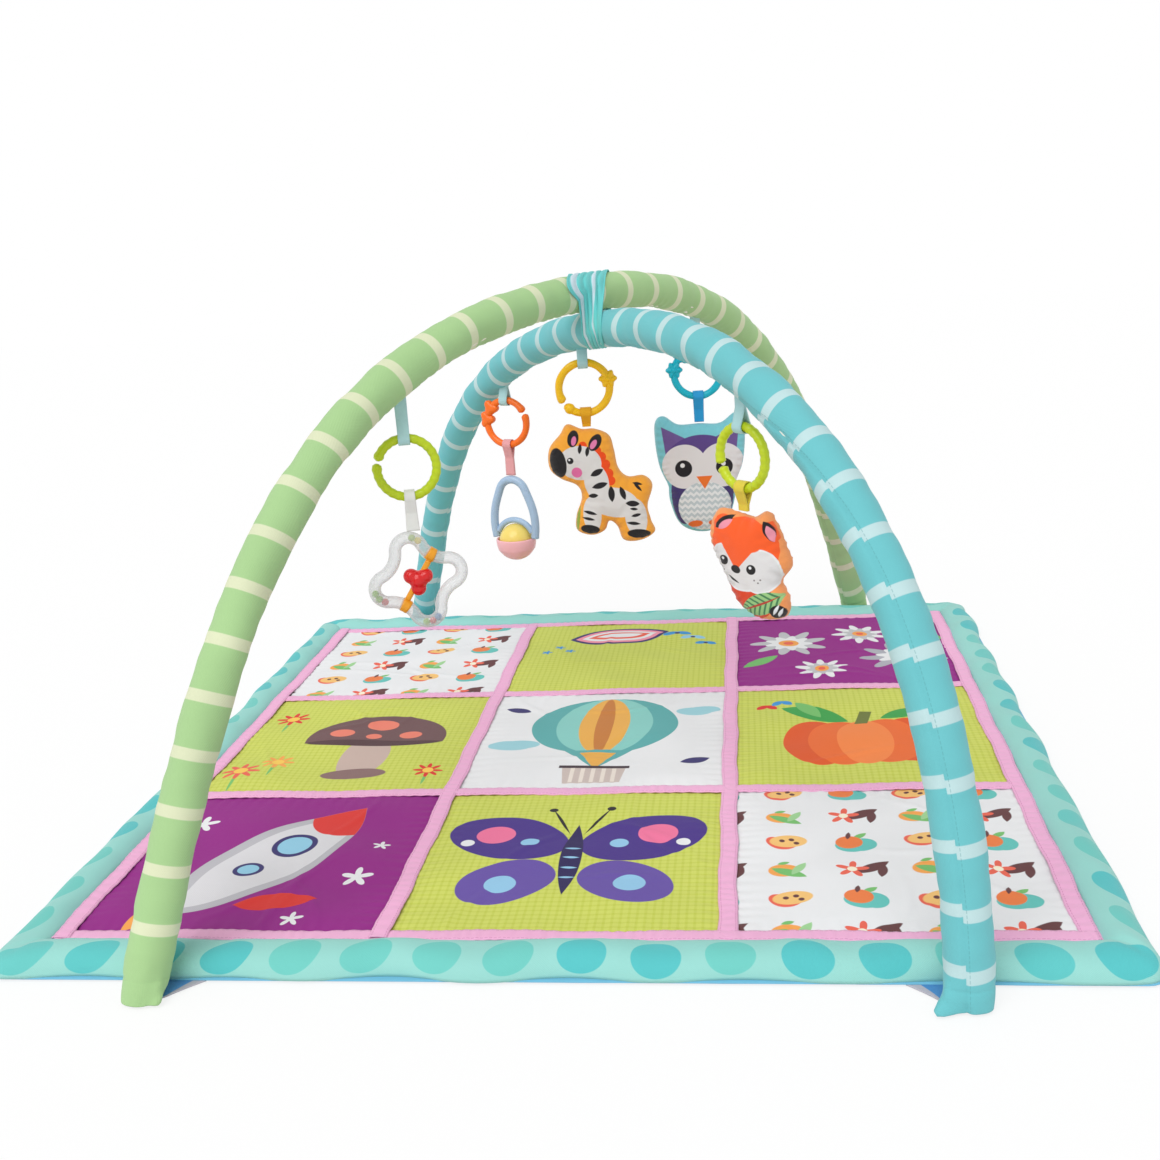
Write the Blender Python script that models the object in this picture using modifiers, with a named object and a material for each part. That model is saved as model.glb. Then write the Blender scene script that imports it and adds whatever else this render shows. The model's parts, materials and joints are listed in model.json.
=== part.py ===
"""Baby play gym: a padded patchwork mat, two crossed padded arches and five hanging toys."""
import bmesh
import bpy
from math import atan2, cos, pi, radians, sin, sqrt
from mathutils import Matrix, Vector

# Mat, in metres
MAT_SIDE = 0.850
MAT_CORNER_RADIUS = 0.014
BORDER_WIDTH = 0.036
BORDER_HEIGHT = 0.0115
BORDER_EDGE_RADIUS = 0.0045
BACKING_THICKNESS = 0.0015
WADDING_THICKNESS = 0.0080
PATCH_THICKNESS = 0.0014
PATCHES_PER_SIDE = 3
RIBBON_WIDTH = 0.013
RIBBON_THICKNESS = 0.0008
CLEARANCE = 0.0003

# Arches: feet stand on the corners of a rectangle, each arch spans one diagonal of it
FOOT_INSET = 0.135
FOOT_OVERHANG = 0.0218
FOOT_HEIGHT = 0.0045
COVER_DIAMETER = 0.0336
COVER_WALL = 0.0010
COVER_NECK_RADIUS = 0.0066
FOAM_RADIUS = 0.0150
FOAM_BORE_RADIUS = 0.0092
ROD_RADIUS = 0.0055
FERRULE_WALL = 0.0014
FERRULE_LENGTH = 0.060
END_INSET = 0.013
NECK_LENGTH = 0.010
ARCH_SPANS = 22
ARCH_SIDES = 10
ROD_SIDES = 8
CROSSING_SHIFT = 0.016
TEAL_APEX_HEIGHT = 0.4255
TEAL_APEX_ADVANCE = 0.106
TEAL_REAR_LEAN = radians(63)
TEAL_FRONT_LEAN = radians(89)
GREEN_LEAN = radians(68)
GREEN_FOOT_HANDLE = 0.300
GREEN_APEX_HANDLE = 0.318
TEAL_REAR_FOOT_HANDLE = 0.250
TEAL_REAR_APEX_HANDLE = 0.397
TEAL_FRONT_FOOT_HANDLE = 0.315
TEAL_FRONT_APEX_HANDLE = 0.212
PATH_SAMPLES = 160

# Foot plugs, tabs and the crossing band
PLUG_FLANGE_RADIUS = 0.0120
PLUG_FLANGE_THICKNESS = 0.0024
PEG_RADIUS = 0.0040
PEG_REACH = 0.0024
TAB_WIDTH = 0.036
TAB_REACH = 0.0335
TAB_CORNER_RADIUS = 0.008
EYELET_RADIUS = 0.0072
BAND_TOP_WIDTH = 0.030
BAND_BOTTOM_WIDTH = 0.016
BAND_BOTTOM_SHIFT = 0.003
BAND_THICKNESS = 0.0014
BAND_LOOP_GAP = 0.0011
BAND_COLUMNS = 4
BAND_STEPS = 28

# Link rings and the straps that they hang in
RING_DIAMETER = 0.056
RING_WIRE = 0.0074
RING_SNAP_GAP = 0.0024
RING_SEGMENTS = 24
RING_SIDES = 8
FLOWER_RADIUS = 0.0080
FLOWER_RIPPLE = 0.0013
FLOWER_THICKNESS = 0.0092
PETALS = 6
STRAP_WIDTH = 0.0110
STRAP_THICKNESS = 0.0011
STRAP_LAYERS = 0.0032

# Plush toys; their outlines are drawn in units of this length
PLUSH_UNIT = 0.001
PLUSH_THICKNESS = 0.026
PLUSH_EDGE = 0.0065

# Clear tube rattle: four round lobes joined by hollow waists
STAR_LOBE_RADIUS = 0.0115
STAR_LOBE_CENTRE = 0.0260
STAR_WAIST = 0.0246
STAR_TUBE_RADIUS = 0.0052
STAR_WALL = 0.0010
STAR_TURN = radians(12)
STAR_FACETS = 4
AXLE_RADIUS = 0.0025
SPINNER_BORE_CLEARANCE = 0.0003
SPINNER_CORE = 0.0080
SPINNER_LOBE = 0.0064
SPINNER_LOBE_OFFSET = 0.0070
BEAD_RADIUS = 0.0031
BEAD_PITCH = 0.0054

# Ball rattle: a loop handle, an arch over the ball and a cup under it
HANDLE_HEIGHT = 0.070
HANDLE_TUBE = 0.0090
HANDLE_TOP_WIDTH = 0.034
BALL_RADIUS = 0.0188
CUP_RADIUS = 0.0222
CUP_WALL = 0.0022
CUP_LIP_HEIGHT = 0.0030
ARCH_BAR = 0.0066

# Derived sizes
MAT_HALF = MAT_SIDE / 2
FIELD_HALF = MAT_HALF - BORDER_WIDTH
FOOT_X = MAT_HALF - FOOT_INSET
FOOT_Y = MAT_HALF + FOOT_OVERHANG
HALF_SPAN = sqrt(FOOT_X ** 2 + FOOT_Y ** 2)
COVER_RADIUS = COVER_DIAMETER / 2
WADDING_BASE = BACKING_THICKNESS + CLEARANCE
PATCH_BASE = WADDING_BASE + WADDING_THICKNESS + CLEARANCE
RIBBON_BASE = PATCH_BASE + PATCH_THICKNESS + CLEARANCE
PATCH_PITCH = 2 * FIELD_HALF / PATCHES_PER_SIDE
RING_RADIUS = (RING_DIAMETER - RING_WIRE) / 2
WIRE_RADIUS = RING_WIRE / 2
STRAP_BORE = WIRE_RADIUS + STRAP_WIDTH ** 2 / (8 * RING_RADIUS) + CLEARANCE
UP = Vector((0, 0, 1))

COLOURS = {
    "aqua_cloth": (0.30, 0.74, 0.72, 1),
    "blue_cloth": (0.25, 0.58, 0.82, 1),
    "wadding": (0.92, 0.92, 0.90, 1),
    "white_print": (0.93, 0.92, 0.90, 1),
    "lime_print": (0.62, 0.72, 0.10, 1),
    "purple_print": (0.25, 0.02, 0.27, 1),
    "pink_ribbon": (0.87, 0.45, 0.68, 1),
    "green_cloth": (0.53, 0.74, 0.39, 1),
    "teal_cloth": (0.27, 0.66, 0.69, 1),
    "rod": (0.80, 0.80, 0.76, 1),
    "foam": (0.90, 0.88, 0.80, 1),
    "plug": (0.75, 0.77, 0.78, 1),
    "webbing": (0.40, 0.69, 0.72, 1),
    "lime_plastic": (0.59, 0.68, 0.02, 1),
    "orange_plastic": (0.98, 0.26, 0.03, 1),
    "yellow_plastic": (0.93, 0.53, 0.01, 1),
    "blue_plastic": (0.01, 0.52, 0.68, 1),
    "clear_strap": (0.80, 0.78, 0.75, 1),
    "pink_strap": (0.83, 0.40, 0.42, 1),
    "yellow_strap": (0.80, 0.45, 0.01, 1),
    "blue_strap": (0.04, 0.47, 0.75, 1),
    "citrus_strap": (0.76, 0.61, 0.06, 1),
    "zebra_plush": (0.97, 0.47, 0.08, 1),
    "owl_plush": (0.26, 0.69, 0.76, 1),
    "fox_plush": (0.95, 0.28, 0.07, 1),
    "clear_plastic": (0.85, 0.86, 0.86, 1),
    "amber_plastic": (0.93, 0.40, 0.02, 1),
    "red_plastic": (0.80, 0.01, 0.01, 1),
    "bead_green": (0.40, 0.62, 0.08, 1),
    "bead_red": (0.72, 0.04, 0.03, 1),
    "bead_yellow": (0.85, 0.70, 0.06, 1),
    "handle_plastic": (0.36, 0.52, 0.72, 1),
    "ball_plastic": (0.88, 0.66, 0.13, 1),
    "cup_plastic": (0.85, 0.45, 0.52, 1),
}


def clear_scene():
    for item in list(bpy.data.objects):
        bpy.data.objects.remove(item, do_unlink=True)


def make_collection(name):
    collection = bpy.data.collections.new(name)
    bpy.context.scene.collection.children.link(collection)
    return collection


clear_scene()
PARTS = make_collection("play_gym")
CUTTERS = make_collection("play_gym_cutters")


def make_material(name):
    """One Principled material for each colour; plastics are glossier than cloth."""
    if name in bpy.data.materials:
        return bpy.data.materials[name]
    material = bpy.data.materials.new(name)
    material.use_nodes = True
    shader = material.node_tree.nodes["Principled BSDF"]
    shader.inputs["Base Color"].default_value = COLOURS[name]
    shader.inputs["Metallic"].default_value = 0.0
    shiny = "plastic" in name or "bead" in name
    shader.inputs["Roughness"].default_value = 0.35 if shiny else 0.85
    return material


def add_object(name, data, material, collection=None):
    item = bpy.data.objects.new(name, data)
    (collection or PARTS).objects.link(item)
    if material:
        item.data.materials.clear()
        item.data.materials.append(make_material(material))
    return item


def hide_cutter(item):
    item.hide_render = True
    item.display_type = "WIRE"


def to_mesh(item):
    """Replace a curve object by the welded mesh of what it shows."""
    graph = bpy.context.evaluated_depsgraph_get()
    mesh = bpy.data.meshes.new_from_object(item.evaluated_get(graph))
    work = bmesh.new()
    work.from_mesh(mesh)
    bmesh.ops.remove_doubles(work, verts=work.verts, dist=1e-6)
    bmesh.ops.recalc_face_normals(work, faces=work.faces)
    work.to_mesh(mesh)
    work.free()
    mesh.materials.clear()
    name = item.name
    solid = bpy.data.objects.new(name + "_mesh", mesh)
    solid.matrix_world = item.matrix_world.copy()
    for material in item.data.materials:
        mesh.materials.append(material)
    item.users_collection[0].objects.link(solid)
    bpy.data.objects.remove(item, do_unlink=True)
    solid.name = name
    return solid


def add_boolean(item, cutter, operation):
    modifier = item.modifiers.new(operation.lower(), "BOOLEAN")
    modifier.operation = operation
    modifier.solver = "EXACT"
    modifier.object = cutter
    return modifier


def poly_curve(name, points, radii=None, cyclic=False, flat=False):
    """A curve through points, with an optional radius factor at each of them."""
    curve = bpy.data.curves.new(name, "CURVE")
    curve.dimensions = "2D" if flat else "3D"
    add_spline(curve, points, radii, cyclic)
    return curve


def add_spline(curve, points, radii=None, cyclic=False):
    spline = curve.splines.new("POLY")
    spline.points.add(len(points) - 1)
    for index, (slot, point) in enumerate(zip(spline.points, points)):
        slot.co = (point[0], point[1], point[2] if len(point) > 2 else 0.0, 1.0)
        slot.radius = radii[index] if radii else 1.0
    spline.use_cyclic_u = cyclic
    return spline


def tube(name, points, radius, sides, material, radii=None, capped=True, cyclic=False):
    """A round tube along points; its sides are a multiple of four."""
    curve = poly_curve(name, points, radii, cyclic)
    curve.bevel_depth = radius
    curve.bevel_resolution = sides // 2 - 2
    curve.use_fill_caps = capped
    curve.twist_mode = "MINIMUM"
    return add_object(name, curve, material)


def face_away_from(item, inside):
    """Turn an open surface's faces away from a point that lies on its inner side."""
    nearest = min(item.data.polygons, key=lambda face: (face.center - inside).length)
    if nearest.normal.dot(nearest.center - inside) < 0:
        item.data.flip_normals()


def sleeve(name, points, radius, wall, sides, material, radii=None):
    """An open tube that a Solidify wall thickens inwards."""
    item = to_mesh(tube(name, points, radius, sides, material, radii, capped=False))
    middle = len(points) // 2
    face_away_from(item, (points[middle] + points[middle - 1]) / 2)
    thick = item.modifiers.new("wall", "SOLIDIFY")
    thick.thickness = wall
    thick.offset = -1
    thick.use_even_offset = True
    return item


def plate(name, outlines, thickness, material):
    """A flat plate whose first outline is the edge and whose others are windows."""
    curve = poly_curve(name, outlines[0], cyclic=True, flat=True)
    for outline in outlines[1:]:
        add_spline(curve, outline, cyclic=True)
    curve.fill_mode = "BOTH"
    curve.extrude = thickness / 2
    return to_mesh(add_object(name, curve, material))


def arc(centre, radius, start, end, steps):
    return [
        (centre[0] + radius * cos(start + (end - start) * i / steps),
         centre[1] + radius * sin(start + (end - start) * i / steps))
        for i in range(steps + 1)
    ]


def rounded_box(half_x, half_y, radius, centre=(0, 0), steps=4):
    """Corner arcs of a rectangle, counter-clockwise from its +X +Y corner."""
    points = []
    for quarter, (sx, sy) in enumerate(((1, 1), (-1, 1), (-1, -1), (1, -1))):
        corner = (centre[0] + sx * (half_x - radius), centre[1] + sy * (half_y - radius))
        points += arc(corner, radius, quarter * pi / 2, (quarter + 1) * pi / 2, steps)
    return points


def box_outline(half_x, half_y, centre=(0, 0)):
    return [(centre[0] + sx * half_x, centre[1] + sy * half_y)
            for sx, sy in ((1, 1), (-1, 1), (-1, -1), (1, -1))]


def turned(name, profile, steps, material):
    """A turned solid: the profile is (radius, height) pairs from the top down."""
    mesh = bpy.data.meshes.new(name)
    mesh.from_pydata([(r, 0, z) for r, z in profile], [(i, i + 1) for i in range(len(profile) - 1)], [])
    item = add_object(name, mesh, material)
    screw = item.modifiers.new("turn", "SCREW")
    screw.steps = steps
    screw.render_steps = steps
    screw.use_merge_vertices = True
    screw.merge_threshold = 1e-5
    return item


def ball(name, radius, centre, segments, rings, material, collection=None):
    mesh = bpy.data.meshes.new(name)
    work = bmesh.new()
    bmesh.ops.create_uvsphere(work, u_segments=segments, v_segments=rings, radius=radius)
    work.to_mesh(mesh)
    work.free()
    mesh.shade_smooth()
    item = add_object(name, mesh, material, collection)
    item.location = centre
    return item


def pivot(name, position, parent=None):
    """An empty on a joint axis, which carries the pieces that turn about it."""
    item = bpy.data.objects.new(name, None)
    PARTS.objects.link(item)
    item.empty_display_size = 0.01
    item.location = position - (parent.matrix_world.translation if parent else Vector())
    item.parent = parent
    bpy.context.view_layer.update()
    return item


def carry(item, joint):
    """Hang a finished piece on a pivot without moving it."""
    bpy.context.view_layer.update()
    item.parent = joint
    item.matrix_parent_inverse = joint.matrix_world.inverted()


def upright(origin, heading):
    """Frame of a flat piece that hangs: x along its width, y up, z towards its back."""
    across = Vector((cos(heading), sin(heading), 0))
    return Matrix.Translation(origin) @ Matrix((across, UP, across.cross(UP))).transposed().to_4x4()


# Mat

def build_mat():
    backing = plate("mat_backing", [rounded_box(MAT_HALF, MAT_HALF, MAT_CORNER_RADIUS)],
                    BACKING_THICKNESS, "blue_cloth")
    backing.location.z = BACKING_THICKNESS / 2

    wadding_half = FIELD_HALF - CLEARANCE
    wadding = plate("mat_wadding", [box_outline(wadding_half, wadding_half)], WADDING_THICKNESS, "wadding")
    wadding.location.z = WADDING_BASE + WADDING_THICKNESS / 2

    edges = [rounded_box(MAT_HALF, MAT_HALF, MAT_CORNER_RADIUS), box_outline(FIELD_HALF, FIELD_HALF)]
    border = plate("mat_border", edges, BORDER_HEIGHT, "aqua_cloth")
    border.location.z = WADDING_BASE + BORDER_HEIGHT / 2
    round_rims(border, BORDER_EDGE_RADIUS, 3)

    prints = (("purple_print", "lime_print", "white_print"),
              ("lime_print", "white_print", "lime_print"),
              ("white_print", "lime_print", "purple_print"))
    rows = ("front", "middle", "back")
    columns = ("left", "centre", "right")
    half = PATCH_PITCH / 2 - CLEARANCE / 2
    for row in range(PATCHES_PER_SIDE):
        for column in range(PATCHES_PER_SIDE):
            name = "patch_{}_{}".format(rows[row], columns[column])
            patch = plate(name, [box_outline(half, half)], PATCH_THICKNESS, prints[row][column])
            patch.location = ((column - 1) * PATCH_PITCH, (row - 1) * PATCH_PITCH,
                              PATCH_BASE + PATCH_THICKNESS / 2)

    frame_half = FIELD_HALF - CLEARANCE
    outlines = [box_outline(frame_half, frame_half)]
    for row in range(PATCHES_PER_SIDE):
        for column in range(PATCHES_PER_SIDE):
            outlines.append(ribbon_window(row, column, frame_half))
    ribbon = plate("seam_ribbons", outlines, RIBBON_THICKNESS, "pink_ribbon")
    ribbon.location.z = RIBBON_BASE + RIBBON_THICKNESS / 2


def round_rims(item, radius, segments):
    """Bevel the level edges of a plate, and leave its upright corners as they are."""
    work = bmesh.new()
    work.from_mesh(item.data)
    level = [edge for edge in work.edges if abs(edge.verts[0].co.z - edge.verts[1].co.z) < CLEARANCE
             and edge.calc_face_angle() > radians(50)]
    bmesh.ops.bevel(work, geom=level, offset=radius, segments=segments, profile=0.5, affect="EDGES",
                    clamp_overlap=True)
    work.to_mesh(item.data)
    work.free()


def ribbon_window(row, column, frame_half):
    """Window between ribbons: outer ribbons lie inside the frame, inner ones on the seams."""
    last = PATCHES_PER_SIDE - 1
    spans = []
    for index in (column, row):
        low = (index - PATCHES_PER_SIDE / 2) * PATCH_PITCH + RIBBON_WIDTH / 2
        high = (index + 1 - PATCHES_PER_SIDE / 2) * PATCH_PITCH - RIBBON_WIDTH / 2
        low = -frame_half + RIBBON_WIDTH if index == 0 else low
        high = frame_half - RIBBON_WIDTH if index == last else high
        spans.append((low, high))
    (x0, x1), (y0, y1) = spans
    return box_outline((x1 - x0) / 2, (y1 - y0) / 2, ((x0 + x1) / 2, (y0 + y1) / 2))


# Arches

def bezier(a, b, c, d, t):
    u = 1 - t
    return u ** 3 * a + 3 * u * u * t * b + 3 * u * t * t * c + t ** 3 * d


class Arch:
    """Centreline of one arch, measured by distance from its rear or left foot."""

    def __init__(self, name, cloth, slant, start, apex, end):
        self.name = name
        self.cloth = cloth
        self.direction = Vector((FOOT_X, slant * FOOT_Y, 0)) / HALF_SPAN
        self.flat = self.sample(start, apex) + self.sample(apex, end)[1:]
        self.points = [self.lift(point) for point in self.flat]
        self.lengths = [0.0]
        for before, after in zip(self.points, self.points[1:]):
            self.lengths.append(self.lengths[-1] + (after - before).length)
        self.length = self.lengths[-1]

    @staticmethod
    def sample(start, end):
        """Points of one cubic arc between two (position, handle) ends."""
        a, d = start[0], end[0]
        b, c = a + start[1], d - end[1]
        return [bezier(a, b, c, d, i / PATH_SAMPLES) for i in range(PATH_SAMPLES + 1)]

    def lift(self, point):
        """From the arch's own plane to the room; the crossing is drawn a little to the right."""
        pull = max(0.0, 1 - (point.x / HALF_SPAN) ** 2) ** 4
        return self.direction * point.x + UP * point.y + Vector((CROSSING_SHIFT * pull, 0, 0))

    def at(self, distance):
        index = 0
        while index < len(self.lengths) - 2 and self.lengths[index + 1] < distance:
            index += 1
        step = self.lengths[index + 1] - self.lengths[index]
        share = (distance - self.lengths[index]) / step
        return self.points[index].lerp(self.points[index + 1], share)

    def distance_of(self, along):
        """Distance at which the arch passes the given place along its diagonal."""
        index = 0
        while self.flat[index + 1].x < along:
            index += 1
        share = (along - self.flat[index].x) / (self.flat[index + 1].x - self.flat[index].x)
        return self.lengths[index] + share * (self.lengths[index + 1] - self.lengths[index])

    def stations(self):
        run = self.length - 2 * END_INSET
        return [END_INSET + run * i / ARCH_SPANS for i in range(ARCH_SPANS + 1)]

    def chord(self, along):
        """Point and direction of the straight span that passes a place along the diagonal."""
        distance = self.distance_of(along)
        stations = self.stations()
        index = 0
        while stations[index + 1] < distance:
            index += 1
        start, end = self.at(stations[index]), self.at(stations[index + 1])
        share = (distance - stations[index]) / (stations[index + 1] - stations[index])
        return start.lerp(end, share), (end - start).normalized()


def end_of(along, height, lean, handle):
    """An end point of an arc and its handle, which leans away from the floor."""
    return Vector((along, height)), Vector((cos(lean), sin(lean))) * handle


def make_arches():
    """The teal arch lies under; the green one rests on it where they cross."""
    rear = end_of(-HALF_SPAN, FOOT_HEIGHT, TEAL_REAR_LEAN, TEAL_REAR_FOOT_HANDLE)
    front = end_of(HALF_SPAN, FOOT_HEIGHT, -TEAL_FRONT_LEAN, TEAL_FRONT_FOOT_HANDLE)
    top = Vector((TEAL_APEX_ADVANCE, TEAL_APEX_HEIGHT))
    rear_top = (top, Vector((TEAL_REAR_APEX_HANDLE, 0)))
    front_top = (top, Vector((TEAL_FRONT_APEX_HANDLE, 0)))
    teal = Arch("teal", "teal_cloth", -1, rear, rear_top, front)
    teal.flat = Arch.sample(rear, rear_top) + Arch.sample(front_top, front)[1:]
    teal = remeasured(teal)
    crossing = teal.chord(0)[0].z
    top = Vector((0, crossing + COVER_DIAMETER + 2 * CLEARANCE))
    apex = (top, Vector((GREEN_APEX_HANDLE, 0)))
    left = end_of(-HALF_SPAN, FOOT_HEIGHT, GREEN_LEAN, GREEN_FOOT_HANDLE)
    right = end_of(HALF_SPAN, FOOT_HEIGHT, -GREEN_LEAN, GREEN_FOOT_HANDLE)
    green = Arch("green", "green_cloth", 1, left, apex, right)
    return green, teal


def remeasured(arch):
    arch.points = [arch.lift(point) for point in arch.flat]
    arch.lengths = [0.0]
    for before, after in zip(arch.points, arch.points[1:]):
        arch.lengths.append(arch.lengths[-1] + (after - before).length)
    arch.length = arch.lengths[-1]
    return arch


def build_arch(arch):
    stations = arch.stations()
    inner = [arch.at(distance) for distance in stations]
    neck = COVER_NECK_RADIUS / COVER_RADIUS
    shoulder = NECK_LENGTH * 0.4
    ends = [(0.0, neck), (shoulder, 0.78), (NECK_LENGTH, 1.0)]
    lead = [arch.at(distance) for distance, _ in ends]
    tail = [arch.at(arch.length - distance) for distance, _ in reversed(ends)]
    radii = [factor for _, factor in ends] + [1.0] * len(inner) + [factor for _, factor in reversed(ends)]
    sleeve(arch.name + "_cover", lead + inner + tail, COVER_RADIUS, COVER_WALL, ARCH_SIDES, arch.cloth, radii)
    sleeve(arch.name + "_foam", inner, FOAM_RADIUS, FOAM_RADIUS - FOAM_BORE_RADIUS, ARCH_SIDES, "foam")

    middle = len(inner) // 2
    joint = inner[middle]
    before = (inner[middle - 1] - joint).normalized()
    after = (inner[middle + 1] - joint).normalized()
    gap = 2 * CLEARANCE
    tube(arch.name + "_rod_a", inner[:middle] + [joint + before * gap], ROD_RADIUS, ROD_SIDES, "rod")
    tube(arch.name + "_rod_b", [joint + after * gap] + inner[middle + 1:], ROD_RADIUS, ROD_SIDES, "rod")
    bore = (ROD_RADIUS + CLEARANCE) / cos(pi / ROD_SIDES)
    reach = FERRULE_LENGTH / 2
    run = [joint + before * reach, joint, joint + after * reach]
    sleeve(arch.name + "_ferrule", run, bore + FERRULE_WALL, FERRULE_WALL, ROD_SIDES, "plug")

    for end, tip, following in (("a", inner[0], inner[1]), ("b", inner[-1], inner[-2])):
        build_foot(arch, end, tip, (following - tip).normalized())


def build_foot(arch, end, tip, inward):
    """A flanged plug under the foam's tip, whose peg goes through the eyelet of a cloth tab."""
    foot = tip - inward * END_INSET
    top = END_INSET - CLEARANCE
    under = top - PLUG_FLANGE_THICKNESS
    profile = [(0, top), (PLUG_FLANGE_RADIUS, top), (PLUG_FLANGE_RADIUS, under), (PEG_RADIUS, under),
               (PEG_RADIUS, -PEG_REACH), (0, -PEG_REACH)]
    plug = turned("{}_foot_plug_{}".format(arch.name, end), profile, ARCH_SIDES, "plug")
    plug.location = foot
    plug.rotation_mode = "QUATERNION"
    plug.rotation_quaternion = inward.to_track_quat("Z", "Y")

    side = 1 if foot.y > 0 else -1
    near = MAT_HALF + CLEARANCE
    outline = rounded_box(TAB_WIDTH / 2, TAB_REACH / 2, TAB_CORNER_RADIUS, (0, side * TAB_REACH / 2))
    hole = arc((0, abs(foot.y) * side - side * near), EYELET_RADIUS, 0, 2 * pi * 15 / 16, 15)
    tab = plate("{}_foot_tab_{}".format(arch.name, end), [outline, hole], BACKING_THICKNESS, "blue_cloth")
    tab.location = (foot.x, side * near, BACKING_THICKNESS / 2)


def build_band(green, teal):
    """A cloth band drawn tight round both sleeves where they cross, narrower below than above."""
    sleeves = (green.chord(0), teal.chord(0))
    points = []
    for column in range(BAND_COLUMNS + 1):
        loop = []
        for sample in range(PATH_SAMPLES):
            angle = 2 * pi * sample / PATH_SAMPLES + pi / 2
            facing = Vector((0, cos(angle), sin(angle)))
            low = (1 - facing.z) / 2
            width = BAND_TOP_WIDTH + (BAND_BOTTOM_WIDTH - BAND_TOP_WIDTH) * low
            x = (column / BAND_COLUMNS - 0.5) * width + BAND_BOTTOM_SHIFT * low
            loop.append(max((sleeve_rim(*sleeve, x, facing) for sleeve in sleeves), key=facing.dot))
        points += even_loop(loop, BAND_STEPS)
    faces = []
    for column in range(BAND_COLUMNS):
        for step in range(BAND_STEPS):
            after = (step + 1) % BAND_STEPS
            near, far = column * BAND_STEPS, (column + 1) * BAND_STEPS
            faces.append((near + step, near + after, far + after, far + step))
    mesh = bpy.data.meshes.new("crossing_band")
    mesh.from_pydata(points, [], faces)
    band = add_object("crossing_band", mesh, "teal_cloth")
    face_away_from(band, (sleeves[0][0] + sleeves[1][0]) / 2)
    thick = band.modifiers.new("cloth", "SOLIDIFY")
    thick.thickness = BAND_THICKNESS
    thick.offset = 1
    thick.use_even_offset = True


def even_loop(loop, count):
    """Points at equal steps round a closed line."""
    sides = [(end - start).length for start, end in zip(loop, loop[1:] + loop[:1])]
    step = sum(sides) / count
    points, side, passed = [], 0, 0.0
    for number in range(count):
        while passed + sides[side] < number * step:
            passed += sides[side]
            side += 1
        share = (number * step - passed) / sides[side]
        points.append(loop[side].lerp(loop[(side + 1) % len(loop)], share))
    return points


def sleeve_rim(spot, run, x, facing):
    """The point of a sleeve's section, x to the right of spot, that lies furthest towards facing."""
    slant = Vector((0, run.y, run.z))
    stretched = facing + slant * (slant.dot(facing) / run.x ** 2)
    reach = (COVER_RADIUS + BAND_LOOP_GAP) / sqrt(facing.dot(stretched))
    return spot + run * (x / run.x) + stretched * reach


# Hanging toys

def strap(name, centre, heading, tail, material):
    """A strap folded round a ring wire at centre; its sewn tail goes up, or down if negative."""
    outer = STRAP_BORE + STRAP_THICKNESS
    open_angle = radians(35)
    steps = 10
    outline = arc((0, 0), outer, open_angle, -pi - open_angle, steps)
    half_tail = STRAP_LAYERS / 2
    joined = min(abs(tail) - 2 * STRAP_THICKNESS, 2.2 * outer)
    outline += [(-half_tail, joined), (-half_tail, abs(tail)), (half_tail, abs(tail)), (half_tail, joined)]
    window = arc((0, 0), STRAP_BORE, open_angle, -pi - open_angle, steps)
    window.append((0, joined - STRAP_THICKNESS))
    if tail < 0:
        outline = [(x, -y) for x, y in outline]
        window = [(x, -y) for x, y in window]
    item = plate(name, [outline, window], STRAP_WIDTH, material)
    item.matrix_world = upright(centre, heading + pi / 2)
    return item


def ring(name, top, heading, gap_angle, flowers, material):
    """A snap ring of round wire, open at its snap, with moulded flowers on some of them."""
    frame = upright(top - UP * RING_RADIUS, heading)
    half_gap = RING_SNAP_GAP / RING_RADIUS / 2
    start = gap_angle + half_gap
    sweep = 2 * pi - 2 * half_gap
    round_path = arc((0, 0), RING_RADIUS, start, start + sweep, RING_SEGMENTS)
    points = [frame @ Vector((x, y, 0)) - top for x, y in round_path]
    item = tube(name, points, WIRE_RADIUS, RING_SIDES, material)
    item.location = top
    bpy.context.view_layer.update()
    if not flowers:
        return item
    item = to_mesh(item)
    for number, angle in enumerate(flowers):
        steps = PETALS * 4
        outline = []
        for i in range(steps):
            turn = 2 * pi * i / steps
            radius = FLOWER_RADIUS + FLOWER_RIPPLE * cos(PETALS * turn)
            outline.append((radius * cos(turn), radius * sin(turn)))
        flower = plate("{}_flower_{}".format(name, number), [outline], FLOWER_THICKNESS, None)
        place = Vector((RING_RADIUS * cos(angle), RING_RADIUS * sin(angle), 0))
        flower.matrix_world = frame @ Matrix.Translation(place)
        PARTS.objects.unlink(flower)
        CUTTERS.objects.link(flower)
        hide_cutter(flower)
        add_boolean(item, flower, "UNION")
    return item


def plush(name, top, heading, outline, material):
    """A stuffed toy: a smooth outline with a rounded edge; outline points are from its top."""
    curve = bpy.data.curves.new(name, "CURVE")
    curve.dimensions = "2D"
    curve.fill_mode = "BOTH"
    curve.resolution_u = 2
    spline = curve.splines.new("BEZIER")
    spline.bezier_points.add(len(outline) - 1)
    for knot, (x, y) in zip(spline.bezier_points, outline):
        knot.co = (x * PLUSH_UNIT, y * PLUSH_UNIT, 0)
        knot.handle_left_type = "AUTO"
        knot.handle_right_type = "AUTO"
    spline.use_cyclic_u = True
    curve.bevel_depth = PLUSH_EDGE
    curve.bevel_resolution = 1
    curve.offset = -PLUSH_EDGE
    curve.extrude = PLUSH_THICKNESS / 2 - PLUSH_EDGE
    item = to_mesh(add_object(name, curve, material))
    item.matrix_world = upright(top - UP * seam_height(item.data), heading)
    return item


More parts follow.
